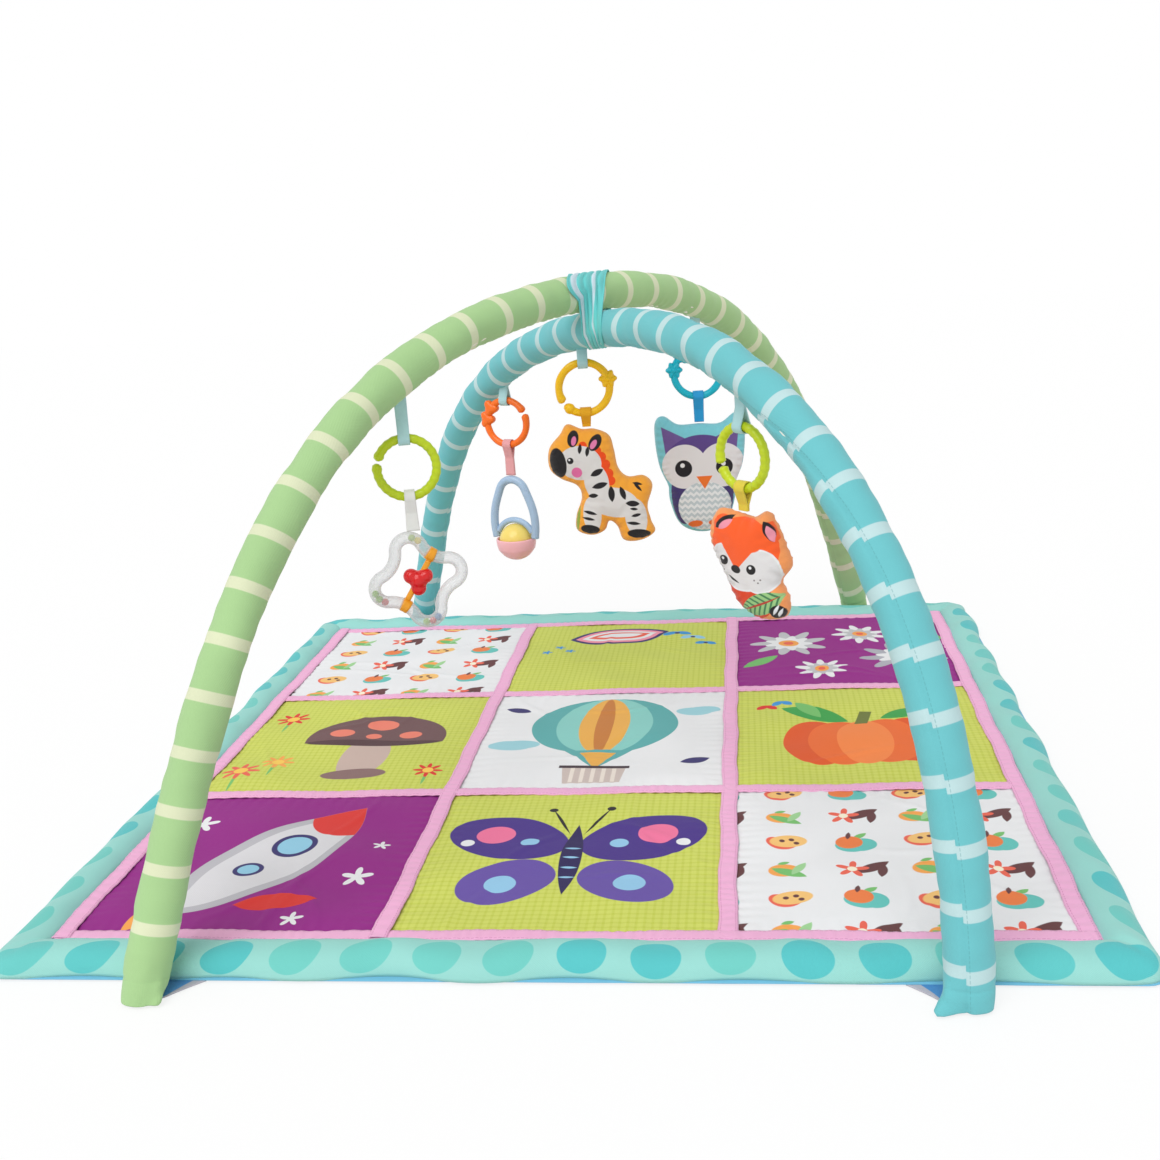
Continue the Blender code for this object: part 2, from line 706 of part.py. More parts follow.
def seam_height(mesh):
    """Height of a toy's top edge above its strap point, within the width of the strap."""
    half = STRAP_WIDTH / 2
    heights = []
    for edge in mesh.edges:
        a, b = (mesh.vertices[index].co for index in edge.vertices)
        for x in (-half, half):
            if min(a.x, b.x) <= x <= max(a.x, b.x) and a.x != b.x:
                heights.append(a.y + (b.y - a.y) * (x - a.x) / (b.x - a.x))
    heights += [vertex.co.y for vertex in mesh.vertices if abs(vertex.co.x) <= half]
    return max(heights)


# Outlines of the stuffed toys in millimetres from the strap, clockwise seen from the front
ZEBRA = ((-5, 0), (8, -1), (21, -8), (25, -22), (29, -40), (38, -50), (53, -50), (61, -60), (56, -80),
         (58, -95), (61, -107), (47, -115), (30, -114), (24, -100), (16, -94), (11, -103), (-2, -107),
         (-16, -101), (-16, -86), (-10, -68), (-14, -56), (-29, -48), (-39, -37), (-38, -18), (-27, -5),
         (-19, 5))
OWL_HALF = ((0, 0), (22, 0), (38, 9), (47, 3), (48, -18), (45, -44), (38, -66), (35, -84), (26, -107),
            (10, -117))
FOX = ((-3, 0), (9, -2), (21, 2), (29, -10), (36, -27), (40, -40), (32, -54), (37, -68), (35, -81),
       (22, -86), (7, -84), (-8, -72), (-17, -52), (-27, -30), (-29, -13), (-21, 2))
FOX_TURN = radians(20)


def owl_outline():
    right = list(OWL_HALF)
    return right + [(-x, y) for x, y in reversed(right[1:])]


def star_path():
    """Centreline of the lobed tube: convex lobe arcs tangent to concave waist arcs."""
    reach, lobe, waist = STAR_LOBE_CENTRE, STAR_LOBE_RADIUS, STAR_WAIST
    bend = (lobe ** 2 - reach ** 2 + sqrt(2) * reach * waist - waist ** 2)
    bend /= 2 * waist - 2 * lobe - sqrt(2) * reach
    corner = (waist + bend) / sqrt(2)
    tilt = atan2(corner, corner - reach)
    fold = atan2(corner - reach, corner)
    points = []
    for quarter in range(4):
        spin = Matrix.Rotation(quarter * pi / 2 + STAR_TURN, 2)
        lobe_arc = arc((reach, 0), lobe, -tilt, tilt, 6)
        waist_arc = arc((corner, corner), bend, -pi / 2 - fold, -pi + fold, 3)
        points += [spin @ Vector(point) for point in lobe_arc + waist_arc[1:-1]]
    return points


def star_shell(name, centre, heading, start, end):
    """Half of the clear tube: a half-round profile swept along the lobed path."""
    seam = (CLEARANCE / 2 + STAR_WALL * sin(pi / (2 * STAR_FACETS))) / STAR_TUBE_RADIUS
    half_round = arc((0, 0), STAR_TUBE_RADIUS, start + seam, end - seam, STAR_FACETS)
    profile = poly_curve(name + "_profile", half_round)
    guide = add_object(name + "_profile", profile, None, CUTTERS)
    hide_cutter(guide)
    curve = poly_curve(name, star_path(), cyclic=True, flat=True)
    curve.fill_mode = "NONE"
    curve.bevel_mode = "OBJECT"
    curve.bevel_object = guide
    item = add_object(name, curve, "clear_plastic")
    item.matrix_world = upright(centre, heading)
    bpy.context.view_layer.update()
    item = to_mesh(item)
    lobe = Matrix.Rotation(STAR_TURN, 2) @ Vector((STAR_LOBE_CENTRE + STAR_LOBE_RADIUS, 0))
    face_away_from(item, lobe.to_3d())
    thick = item.modifiers.new("wall", "SOLIDIFY")
    thick.thickness = STAR_WALL
    thick.offset = -1
    thick.use_even_offset = True
    return item


def build_star(joint, centre, heading):
    front = star_shell("star_shell_front", centre, heading, pi, 2 * pi)
    rear = star_shell("star_shell_rear", centre, heading, 0, pi)
    frame = upright(centre, heading)
    axle_turn = STAR_TURN + pi / 4
    along = frame.to_3x3() @ Vector((cos(axle_turn), sin(axle_turn), 0))
    half = STAR_WAIST - STAR_TUBE_RADIUS - CLEARANCE
    axle = tube("star_axle", [centre - along * half, centre + along * half], AXLE_RADIUS, RING_SIDES,
                "amber_plastic")
    for item in (front, rear, axle):
        carry(item, joint)

    spin = pivot("spinner_pivot", centre, joint)
    spinner = ball("star_spinner", SPINNER_CORE, centre, 10, 8, "red_plastic")
    for lobe in range(3):
        turn = axle_turn + pi / 2 + lobe * 2 * pi / 3
        place = frame @ Vector((SPINNER_LOBE_OFFSET * cos(turn), SPINNER_LOBE_OFFSET * sin(turn), 0))
        knob = ball("star_spinner_lobe_{}".format(lobe), SPINNER_LOBE, place, 10, 8, None, CUTTERS)
        hide_cutter(knob)
        add_boolean(spinner, knob, "UNION")
    reach = SPINNER_CORE + SPINNER_LOBE_OFFSET + SPINNER_LOBE
    bore_radius = (AXLE_RADIUS + SPINNER_BORE_CLEARANCE) / cos(pi / RING_SIDES)
    cutter = tube("star_spinner_bore", [centre - along * reach, centre + along * reach], bore_radius,
                  RING_SIDES, None)
    cutter = to_mesh(cutter)
    PARTS.objects.unlink(cutter)
    CUTTERS.objects.link(cutter)
    hide_cutter(cutter)
    add_boolean(spinner, cutter, "DIFFERENCE")
    carry(spinner, spin)

    runs = (("beads_left", 2, 0.55, 3, "bead_green"), ("beads_bottom", 3, 0.1, 3, "bead_red"),
            ("beads_top", 1, -0.75, 2, "bead_yellow"))
    for name, quarter, lean, count, material in runs:
        build_beads(joint, frame, name, quarter, lean, count, material)


def build_beads(joint, frame, name, quarter, lean, count, material):
    """A run of beads in one lobe; it rolls along the lobe's arc about the lobe's centre."""
    turn = quarter * pi / 2 + STAR_TURN
    hub = Vector((STAR_LOBE_CENTRE * cos(turn), STAR_LOBE_CENTRE * sin(turn), 0))
    roll = pivot(name + "_pivot", frame @ hub, joint)
    first = None
    for number in range(count):
        angle = turn + lean + (number - (count - 1) / 2) * BEAD_PITCH / STAR_LOBE_RADIUS
        place = frame @ (hub + Vector((cos(angle), sin(angle), 0)) * bead_track())
        if first is None:
            first = ball(name, BEAD_RADIUS, place, 8, 6, material)
            continue
        mate = ball("{}_{}".format(name, number), BEAD_RADIUS, place, 8, 6, None, CUTTERS)
        hide_cutter(mate)
        add_boolean(first, mate, "UNION")
    carry(first, roll)


def bead_track():
    """Radius of the beads' centres, which lie on the outer wall of the lobe."""
    inner_wall = (STAR_TUBE_RADIUS - STAR_WALL) * cos(pi / (2 * STAR_FACETS))
    return STAR_LOBE_RADIUS + inner_wall - BEAD_RADIUS - 2 * CLEARANCE


def build_ball_rattle(joint, top, heading):
    """Loop handle with an arch over a loose ball, which a cup holds from below."""
    frame = upright(top, heading)
    tube_radius = HANDLE_TUBE / 2
    leg_x = BALL_RADIUS + tube_radius + 3 * CLEARANCE
    foot_y = -HANDLE_HEIGHT
    centre_y = foot_y - CUP_LIP_HEIGHT - CLEARANCE
    start_y = -HANDLE_TOP_WIDTH / 2 - tube_radius
    path = [(leg_x, foot_y), (leg_x + 0.0022, foot_y * 0.78), (leg_x, foot_y * 0.52)]
    path += arc((0, start_y), HANDLE_TOP_WIDTH / 2, radians(15), radians(165), 8)
    path += [(-x, y) for x, y in reversed(path[:3])]
    handle = to_mesh(tube("rattle_handle", [frame @ Vector((x, y, 0)) for x, y in path], tube_radius,
                          RING_SIDES, "handle_plastic"))
    bar_radius = BALL_RADIUS + ARCH_BAR / 2 + 3 * CLEARANCE
    bar_path = arc((0, centre_y), bar_radius, radians(28), radians(152), 8)
    bar = to_mesh(tube("rattle_handle_bar", [frame @ Vector((x, y, 0)) for x, y in bar_path],
                       ARCH_BAR / 2, RING_SIDES, None))
    PARTS.objects.unlink(bar)
    CUTTERS.objects.link(bar)
    hide_cutter(bar)
    add_boolean(handle, bar, "UNION")
    carry(handle, joint)

    hub = frame @ Vector((0, centre_y, 0))
    inner = CUP_RADIUS - CUP_WALL
    lip = CUP_LIP_HEIGHT
    outside = [(CUP_RADIUS * cos(a), CUP_RADIUS * sin(a)) for a in [-pi / 2 * i / 6 for i in range(7)]]
    inside = [(inner * cos(a), inner * sin(a)) for a in [-pi / 2 * (1 - i / 6) for i in range(7)]]
    outside[-1] = (0, -CUP_RADIUS)
    inside[0] = (0, -inner)
    cup = turned("rattle_cup", [(inner, lip), (CUP_RADIUS, lip)] + outside + inside + [(inner, lip)], 16,
                 "cup_plastic")
    cup.location = hub
    carry(cup, joint)

    spin = pivot("ball_pivot", hub, joint)
    carry(ball("rattle_ball", BALL_RADIUS, hub, 16, 10, "ball_plastic"), spin)


def build_toys(green, teal):
    """Each toy: a webbing loop under an arch, a link ring in it and a strap that carries the toy."""
    toys = (
        ("star", green, -0.236, radians(14), 0.029, 0.029, "lime_plastic", radians(165), (), "clear_strap"),
        ("rattle", teal, -0.205, radians(-20), 0.012, 0.034, "orange_plastic", radians(25),
         (radians(140), radians(172)), "pink_strap"),
        ("zebra", teal, -0.024, radians(6), 0.012, 0.013, "yellow_plastic", radians(215),
         (radians(18),), "yellow_strap"),
        ("owl", green, 0.178, radians(4), 0.030, 0.027, "blue_plastic", radians(20),
         (radians(130), radians(170)), "blue_strap"),
        ("fox", teal, 0.270, radians(-45), 0.022, 0.018, "lime_plastic", radians(200), (), "citrus_strap"),
    )
    for name, arch, along, heading, hang, drop, plastic, gap_angle, flowers, strap_material in toys:
        spot, run = arch.chord(along)
        slope = abs(run.z)
        flat_run = sqrt(1 - slope * slope)
        flat_side = COVER_RADIUS * cos(pi / ARCH_SIDES)
        seat = flat_side / flat_run + CLEARANCE + slope / flat_run * STRAP_WIDTH / 2
        top = spot - UP * (seat + hang)
        strap("webbing_loop_" + name, top, heading, hang, "webbing")
        ring_joint = pivot("ring_pivot_" + name, top)
        carry(ring("link_ring_" + name, top, heading, gap_angle, flowers, plastic), ring_joint)
        bottom = top - UP * 2 * RING_RADIUS
        toy_joint = pivot("toy_pivot_" + name, bottom, ring_joint)
        carry(strap("toy_strap_" + name, bottom, heading, -drop, strap_material), toy_joint)
        toy_top = bottom - UP * (drop + CLEARANCE)
        build_toy(name, toy_joint, toy_top, heading)


def build_toy(name, joint, top, heading):
    if name == "star":
        lobe_lean = cos(STAR_TURN) * STAR_LOBE_CENTRE + STAR_LOBE_RADIUS + STAR_TUBE_RADIUS
        build_star(joint, top - UP * lobe_lean, heading)
        return
    if name == "rattle":
        build_ball_rattle(joint, top, heading)
        return
    outline, turn = {"zebra": (ZEBRA, 0), "owl": (owl_outline(), 0), "fox": (FOX, FOX_TURN)}[name]
    carry(plush(name + "_plush", top, heading + turn, outline, name + "_plush"), joint)


build_mat()
GREEN, TEAL = make_arches()
build_arch(GREEN)
build_arch(TEAL)
build_band(GREEN, TEAL)
build_toys(GREEN, TEAL)
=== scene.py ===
import json
import bmesh
import bpy
import numpy as np
from math import atan2, cos, pi, radians, sin, sqrt
from mathutils import Matrix, Vector
from mathutils.geometry import delaunay_2d_cdt


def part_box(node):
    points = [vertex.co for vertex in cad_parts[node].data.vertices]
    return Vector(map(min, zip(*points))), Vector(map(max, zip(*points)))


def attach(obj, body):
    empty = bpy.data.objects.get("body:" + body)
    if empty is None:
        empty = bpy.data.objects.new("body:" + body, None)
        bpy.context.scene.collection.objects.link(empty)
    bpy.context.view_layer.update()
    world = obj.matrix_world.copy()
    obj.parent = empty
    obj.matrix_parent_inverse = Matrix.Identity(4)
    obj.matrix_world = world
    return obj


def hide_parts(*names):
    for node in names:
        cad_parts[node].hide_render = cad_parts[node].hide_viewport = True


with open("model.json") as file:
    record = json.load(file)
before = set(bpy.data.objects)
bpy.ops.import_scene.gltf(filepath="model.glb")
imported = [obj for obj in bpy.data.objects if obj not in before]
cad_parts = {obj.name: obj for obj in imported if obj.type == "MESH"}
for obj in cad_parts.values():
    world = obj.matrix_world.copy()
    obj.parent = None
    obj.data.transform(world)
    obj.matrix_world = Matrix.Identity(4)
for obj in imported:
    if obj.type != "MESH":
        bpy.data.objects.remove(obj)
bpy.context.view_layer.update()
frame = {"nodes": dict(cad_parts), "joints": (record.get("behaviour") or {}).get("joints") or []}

scene = bpy.context.scene
scene.view_settings.view_transform = "Standard"
joints = {joint["name"]: joint for joint in frame["joints"]}
turn = 2 * pi


# Colours are written as screen values and changed to the linear ones that shaders use.
def tint(red, green, blue):
    screen = np.array([red, green, blue]) / 255
    linear = np.where(screen <= 0.04045, screen / 12.92, ((screen + 0.055) / 1.055) ** 2.4)
    return tuple(float(part) for part in linear) + (1.0,)


def darker(colour, share):
    return tuple(part * share for part in colour[:3]) + (1.0,)


# One value in a material. Arithmetic on it adds the nodes that work it out.
class Flow:
    def __init__(self, tree, socket=None):
        self.tree = tree
        self.socket = socket

    def make(self, kind, settings=None, links=None, out=0):
        node = self.tree.nodes.new(kind)
        for key, value in (settings or {}).items():
            setattr(node, key, value)
        for key, value in (links or {}).items():
            if isinstance(value, Flow):
                self.tree.links.new(value.socket, node.inputs[key])
            else:
                node.inputs[key].default_value = value
        return Flow(self.tree, node.outputs[out])

    def calc(self, operation, *others, clamp=False):
        settings = {"operation": operation, "use_clamp": clamp}
        return self.make("ShaderNodeMath", settings, dict(enumerate((self,) + others)))

    def vector(self, operation, other=None, out=0):
        links = {0: self} if other is None else {0: self, 1: other}
        return self.make("ShaderNodeVectorMath", {"operation": operation}, links, out)

    def __add__(self, other):
        return self.calc("ADD", other)

    def __sub__(self, other):
        return self.calc("SUBTRACT", other)

    def __mul__(self, other):
        return self.calc("MULTIPLY", other)

    def __truediv__(self, other):
        return self.calc("DIVIDE", other)

    def __rsub__(self, other):
        return self.calc("MULTIPLY_ADD", -1.0, other)

    __radd__ = __add__
    __rmul__ = __mul__

    def parts(self):
        split = self.make("ShaderNodeSeparateXYZ", None, {0: self})
        node = split.socket.node
        return Flow(self.tree, node.outputs[0]), Flow(self.tree, node.outputs[1])

    # 1 where the distance is negative, 0 where it is positive, with an edge as wide as soft
    def inside(self, soft):
        return self.calc("MULTIPLY_ADD", -1.0 / soft, 0.5, clamp=True)

    def mix(self, low, high):
        return self.make("ShaderNodeMix", {"data_type": "RGBA"}, {0: self, 6: low, 7: high}, 2)

    # soft random clouds over the piece
    def noise(self, scale, detail=2.0):
        room = self.make("ShaderNodeTexCoord", None, None, 3)
        return self.make("ShaderNodeTexNoise", None, {"Vector": room, "Scale": scale, "Detail": detail})


# A picture painted shape by shape on one colour; unit is the size of 1 in the shapes' numbers.
class Print:
    def __init__(self, flow, spot, ground, unit=0.001, soft=0.5):
        self.flow = flow
        self.spot = spot.vector("SCALE")
        self.spot.socket.node.inputs["Scale"].default_value = 1 / unit
        self.colour = ground
        self.soft = soft

    def paint(self, mask, colour):
        self.colour = mask.mix(self.colour, colour)

    def local(self, centre, angle=0.0, size=(1, 1)):
        links = {0: self.spot, 1: (*centre, 0), 2: (0, 0, radians(angle)), 3: (*size, 1)}
        return self.flow.make("ShaderNodeMapping", {"vector_type": "TEXTURE"}, links)

    # length of the point in the oval's own stretched space, which is 1 on its rim
    def ovalMask(self, centre, radii, angle=0.0):
        reach = self.local(centre, angle, radii).vector("LENGTH", out=1)
        return ((reach - 1.0) * min(radii)).inside(self.soft)

    def oval(self, centre, radii, colour, angle=0.0):
        self.paint(self.ovalMask(centre, radii, angle), colour)

    def disc(self, centre, radius, colour):
        self.oval(centre, (radius, radius), colour)

    # a leaf outline is where two equal discs overlap: distance to the far disc's centre less its radius
    def leafMask(self, centre, length, width, angle=0.0):
        bow = (length ** 2 + width ** 2) / (2 * width)
        x, y = self.local(centre, angle).parts()
        lifted = y.calc("ABSOLUTE") + (bow - width)
        return ((x * x + lifted * lifted).calc("SQRT") - bow).inside(self.soft)

    def leaf(self, centre, length, width, colour, angle=0.0):
        self.paint(self.leafMask(centre, length, width, angle), colour)

    # petals: the rim's radius swells and shrinks as the cosine of several times the angle
    def petals(self, centre, radius, depth, count, colour, angle=0.0):
        place = self.local(centre, angle)
        x, y = place.parts()
        wave = (y.calc("ARCTAN2", x) * float(count)).calc("COSINE") * (radius * depth) + radius * (1 - depth)
        reach = place.vector("LENGTH", out=1)
        self.paint((reach - wave).inside(self.soft), colour)

    # a straight-sided shape is where the point lies behind every side; corners go counter-clockwise
    def sidesMask(self, corners):
        worst = None
        for start, end in zip(corners, corners[1:] + corners[:1]):
            run = np.subtract(end, start)
            out = np.array([run[1], -run[0]]) / np.hypot(*run)
            reach = self.spot.vector("DOT_PRODUCT", (*out, 0), 1) - float(out @ start)
            worst = reach if worst is None else worst.calc("MAXIMUM", reach)
        return worst.inside(self.soft)

    def sides(self, corners, colour):
        self.paint(self.sidesMask(list(corners)), colour)


def startMaterial(name, roughness, **sockets):
    material = bpy.data.materials.new(name)
    material.use_nodes = True
    shader = material.node_tree.nodes["Principled BSDF"]
    shader.inputs["Roughness"].default_value = roughness
    for key, value in sockets.items():
        shader.inputs[key.replace("_", " ")].default_value = value
    return material, Flow(material.node_tree), shader


def link(flow, shader, socket):
    flow.tree.links.new(flow.socket, shader.inputs[socket])


def bump(flow, shader, height, strength, distance):
    normal = flow.make("ShaderNodeBump", None, {"Strength": strength, "Distance": distance, "Height": height})
    link(normal, shader, "Normal")


# A weave is the product of two sine waves, one along each thread direction.
def weaveBump(flow, spot, shader, pitch, strength):
    x, y = spot.parts()
    height = (x * (turn / pitch)).calc("SINE") * (y * (turn / pitch)).calc("SINE")
    slubs = flow.noise(180.0)
    bump(flow, shader, height * 0.5 + slubs, strength, 0.0004)


# Cloth: its colour drifts a little over the piece, and its threads make a fine bump.
def clothLook(name, draw, pitch=0.0016, roughness=0.8, strength=0.35, drift=0.10, sheen=0.15):
    material, flow, shader = startMaterial(name, roughness, Sheen_Weight=sheen, Specular_IOR_Level=0.3)
    shader.inputs["Sheen Roughness"].default_value = 0.5
    spot = flow.make("ShaderNodeUVMap", {"uv_map": "cloth"})
    colour = draw(flow, spot)
    shade = flow.make("ShaderNodeMix", {"data_type": "RGBA", "blend_type": "MULTIPLY"},
                      {0: drift * 2, 6: colour, 7: 1.0 - flow.noise(14.0, 3.0) * 0.5}, 2)
    link(shade, shader, "Base Color")
    weaveBump(flow, spot, shader, pitch, strength)
    return material


# Sewn dashes: a thin line at a given distance to either side, broken up along its length.
def stitches(across, along, line, pitch=0.0034):
    row = (across.calc("ABSOLUTE") - line).calc("ABSOLUTE") - 0.0003
    dash = along.calc("PINGPONG", pitch / 2) - pitch * 0.34
    return row.inside(0.0002) * dash.inside(0.0003)


def plainCloth(name, colour, **look):
    def draw(flow, spot):
        return flow.noise(60.0).mix(darker(colour, 0.9), colour)
    return clothLook(name, draw, **look)


# Moulded plastic: a faint cloud in its colour, a fine orange-peel bump and a thin clear gloss.
def plasticLook(name, colour, roughness=0.32, coat=0.10, peel=0.08):
    material, flow, shader = startMaterial(name, roughness, Coat_Weight=coat, Coat_Roughness=0.12,
                                           Specular_IOR_Level=0.32)
    link(flow.noise(45.0).mix(darker(colour, 0.86), colour), shader, "Base Color")
    bump(flow, shader, flow.noise(420.0), peel, 0.0003)
    return material


# Quads between neighbouring grid points; a wrapped direction joins its last row to its first.
def gridFaces(rows, columns, wrapU, wrapV):
    i, j = np.meshgrid(np.arange(rows if wrapU else rows - 1), np.arange(columns if wrapV else columns - 1),
                       indexing="ij")
    corners = ((i, j), (i + 1, j), (i + 1, j + 1), (i, j + 1))
    faces = np.stack([(a % rows) * columns + b % columns for a, b in corners], -1).reshape(-1, 4)
    return faces, corners


# One mesh from grids of points. Each grid is a dictionary: points, and optionally wrapU, wrapV and uv.
def surface(name, grids, material, weld=True, thickness=0.0, offset=-1.0):
    points, faces, uvs, start = [], [], [], 0
    for grid in grids:
        place = np.asarray(grid["points"], float)
        rows, columns = place.shape[:2]
        quads, corners = gridFaces(rows, columns, grid.get("wrapU", False), grid.get("wrapV", False))
        points.append(place.reshape(-1, 3))
        faces.append(quads + start)
        uv = grid.get("uv")
        uv = np.zeros((rows + 1, columns + 1, 2)) if uv is None else uv
        uvs.append(np.stack([uv[a, b] for a, b in corners], -2).reshape(-1, 2))
        start += rows * columns
    mesh = bpy.data.meshes.new(name)
    mesh.from_pydata(np.concatenate(points).tolist(), [], np.concatenate(faces).tolist())
    layer = mesh.uv_layers.new(name="cloth")
    layer.data.foreach_set("uv", np.concatenate(uvs).reshape(-1).astype(np.float32))
    mesh.materials.append(material)
    work = bmesh.new()
    work.from_mesh(mesh)
    if weld:
        bmesh.ops.remove_doubles(work, verts=work.verts, dist=1e-6)
        flat = [face for face in work.faces if face.calc_area() < 1e-13]
        bmesh.ops.delete(work, geom=flat, context="FACES")
        if not thickness:
            bmesh.ops.recalc_face_normals(work, faces=work.faces)
    work.to_mesh(mesh)
    work.free()
    mesh.polygons.foreach_set("use_smooth", np.full(len(mesh.polygons), True))
    piece = bpy.data.objects.new(name, mesh)
    scene.collection.objects.link(piece)
    if thickness:
        wall = piece.modifiers.new("cloth", "SOLIDIFY")
        wall.thickness = thickness
        wall.offset = offset
    return piece


def fit(piece, body, nodes):
    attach(piece, body)
    if nodes:
        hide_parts(*nodes)
    return piece


def smoothStep(value):
    value = np.clip(value, 0, 1)
    return value * value * (3 - 2 * value)


# Soft folds: a sum of sine waves of mixed length and direction. turns counts whole waves round a sleeve.
def folds(along, around, longest, seed, count=7, turns=3):
    draw = np.random.default_rng(seed)
    total = np.zeros(np.broadcast(along, around).shape)
    for _ in range(count):
        pitch = longest * draw.uniform(0.35, 1.0)
        total = total + np.sin(turn * along / pitch + draw.integers(-turns, turns + 1) * around
                               + draw.uniform(0, turn))
    return total / sqrt(count)


# The same on a flat panel: every wave has a heading of its own.
def hills(x, y, longest, seed, count=9):
    draw = np.random.default_rng(seed)
    total = np.zeros(np.broadcast(x, y).shape)
    for _ in range(count):
        pitch = longest * draw.uniform(0.4, 1.0)
        heading = draw.uniform(0, turn)
        total = total + np.sin(turn * (x * cos(heading) + y * sin(heading)) / pitch + draw.uniform(0, turn))
    return total / sqrt(count)


def unit(vectors):
    return vectors / np.linalg.norm(vectors, axis=-1, keepdims=True)


def toward(angle):
    return np.array([cos(angle), sin(angle)])


# Points of a round arc: centre plus radius times cosine and sine of the angle.
def arc(radius, angle, centre=(0, 0)):
    return np.asarray(centre) + radius * np.stack([np.cos(angle), np.sin(angle)], 1)


def circle(angle, first, second):
    return np.cos(angle)[..., None] * first + np.sin(angle)[..., None] * second


# Rings of points closed at both ends by the path's own end points.
def capped(path, rings):
    ends = np.repeat(path[[0, -1], None], rings.shape[1], 1)
    return np.concatenate([ends[:1], rings, ends[1:]])


# Points at equal steps along a line, and how far along it each of them is.
def evenly(points, count):
    steps = np.linalg.norm(np.diff(points, axis=0), axis=1)
    run = np.concatenate([[0], np.cumsum(steps)])
    at = np.linspace(0, run[-1], count)
    return np.stack([np.interp(at, run, points[:, axis]) for axis in range(points.shape[1])], 1), at


# Round tube along a path, closed at both ends: the path plus radius times cosine and sine of the angle in
# its cross plane.
def tubeGrid(path, radius, sides, plane):
    path = np.asarray(path, float)
    ahead = unit(np.gradient(path, axis=0))
    first = unit(plane - (ahead @ plane)[:, None] * ahead)
    second = np.cross(first, ahead)
    angle = np.arange(sides) * turn / sides
    rings = np.reshape(radius, (-1, 1, 1)) * circle(angle[None], first[:, None], second[:, None])
    return {"points": capped(path, path[:, None] + rings), "wrapV": True}


# Turned form: a profile of radius and height carried round an axis.
def turnedGrid(profile, sides, centre, axes):
    profile = np.asarray(profile, float)
    angle = np.arange(sides) * turn / sides
    across, up, front = axes
    points = (np.asarray(centre) + profile[:, 0, None, None] * circle(angle[None], across, front)
              + profile[:, 1, None, None] * up)
    return {"points": points, "wrapV": True}


def ballGrid(centre, radius, rows=24, sides=32):
    tilt = np.linspace(0, pi, rows)
    profile = np.stack([np.sin(tilt) * radius, np.cos(tilt) * radius], 1)
    profile[[0, -1], 0] = 0
    return turnedGrid(profile, sides, centre, np.eye(3)[[0, 2, 1]])


# Smooth closed line through corner points: a Catmull-Rom spline.
def roundLine(corners, perSpan):
    corners = np.asarray(corners, float)
    a, b, c, d = (np.roll(corners, shift, 0)[:, None] for shift in (1, 0, -1, -2))
    t = np.linspace(0, 1, perSpan, endpoint=False)[None, :, None]
    square, cube = 2 * a - 5 * b + 4 * c - d, 3 * b - a - 3 * c + d
    line = 0.5 * (2 * b + (c - a) * t + square * t ** 2 + cube * t ** 3)
    return line.reshape(-1, corners.shape[1])


# Frame of a hanging piece: along its width, up, and out of its front.
def hanging(toy, twist=0.0):
    x, y = joints["toy_swing_" + toy]["axis"][:2]
    across = np.array([x * cos(twist) - y * sin(twist), x * sin(twist) + y * cos(twist), 0])
    up = np.array([0.0, 0, 1])
    return across, up, np.cross(across, up)


def hinge(name):
    return np.array(joints[name]["pos_m"], float)


# Piece name from a node's name: patch_back_left becomes patchBackLeft.
def pieceName(node):
    first, *rest = node.split("_")
    return first + "".join(part.title() for part in rest)


def placed(local, origin, axes):
    local = np.asarray(local, float)
    return np.asarray(origin) + sum(local[..., k, None] * axes[k] for k in range(local.shape[-1]))


# Camera and light

cameraSet = {"place": (0.1554, -1.2397, 0.5221), "yaw": radians(-7.667), "pitch": radians(15.370),
             "roll": radians(-3.968), "lens": 40.925}
lightSet = {"sky": 0.60, "sun": 1.85, "softness": radians(50), "from": (-0.35, -0.95, 1.25)}
floorSet = {"reach": 6.0, "height": -0.0008, "white": 0.80}


def makeCamera():
    yaw, pitch, roll = cameraSet["yaw"], cameraSet["pitch"], cameraSet["roll"]
    ahead = Vector((sin(yaw) * cos(pitch), cos(yaw) * cos(pitch), -sin(pitch)))
    level = Vector((cos(yaw), -sin(yaw), 0))
    above = level.cross(ahead)
    right = level * cos(roll) + above * sin(roll)
    up = above * cos(roll) - level * sin(roll)
    lens = bpy.data.cameras.new("camera")
    lens.lens = cameraSet["lens"]
    lens.sensor_width = 36
    lens.clip_start = 0.05
    camera = bpy.data.objects.new("camera", lens)
    facing = Matrix((right, up, -ahead)).transposed().to_4x4()
    camera.matrix_world = Matrix.Translation(cameraSet["place"]) @ facing
    scene.collection.objects.link(camera)
    scene.camera = camera


# 1 for a ray that shows a surface to the camera, straight on or by way of gloss and clear plastic.
def seenRays(flow):
    rays = flow.make("ShaderNodeLightPath").socket.node.outputs
    camera, gloss, clear = (Flow(flow.tree, rays["Is {} Ray".format(kind)])
                            for kind in ("Camera", "Glossy", "Transmission"))
    return camera.calc("MAXIMUM", gloss).calc("MAXIMUM", clear)


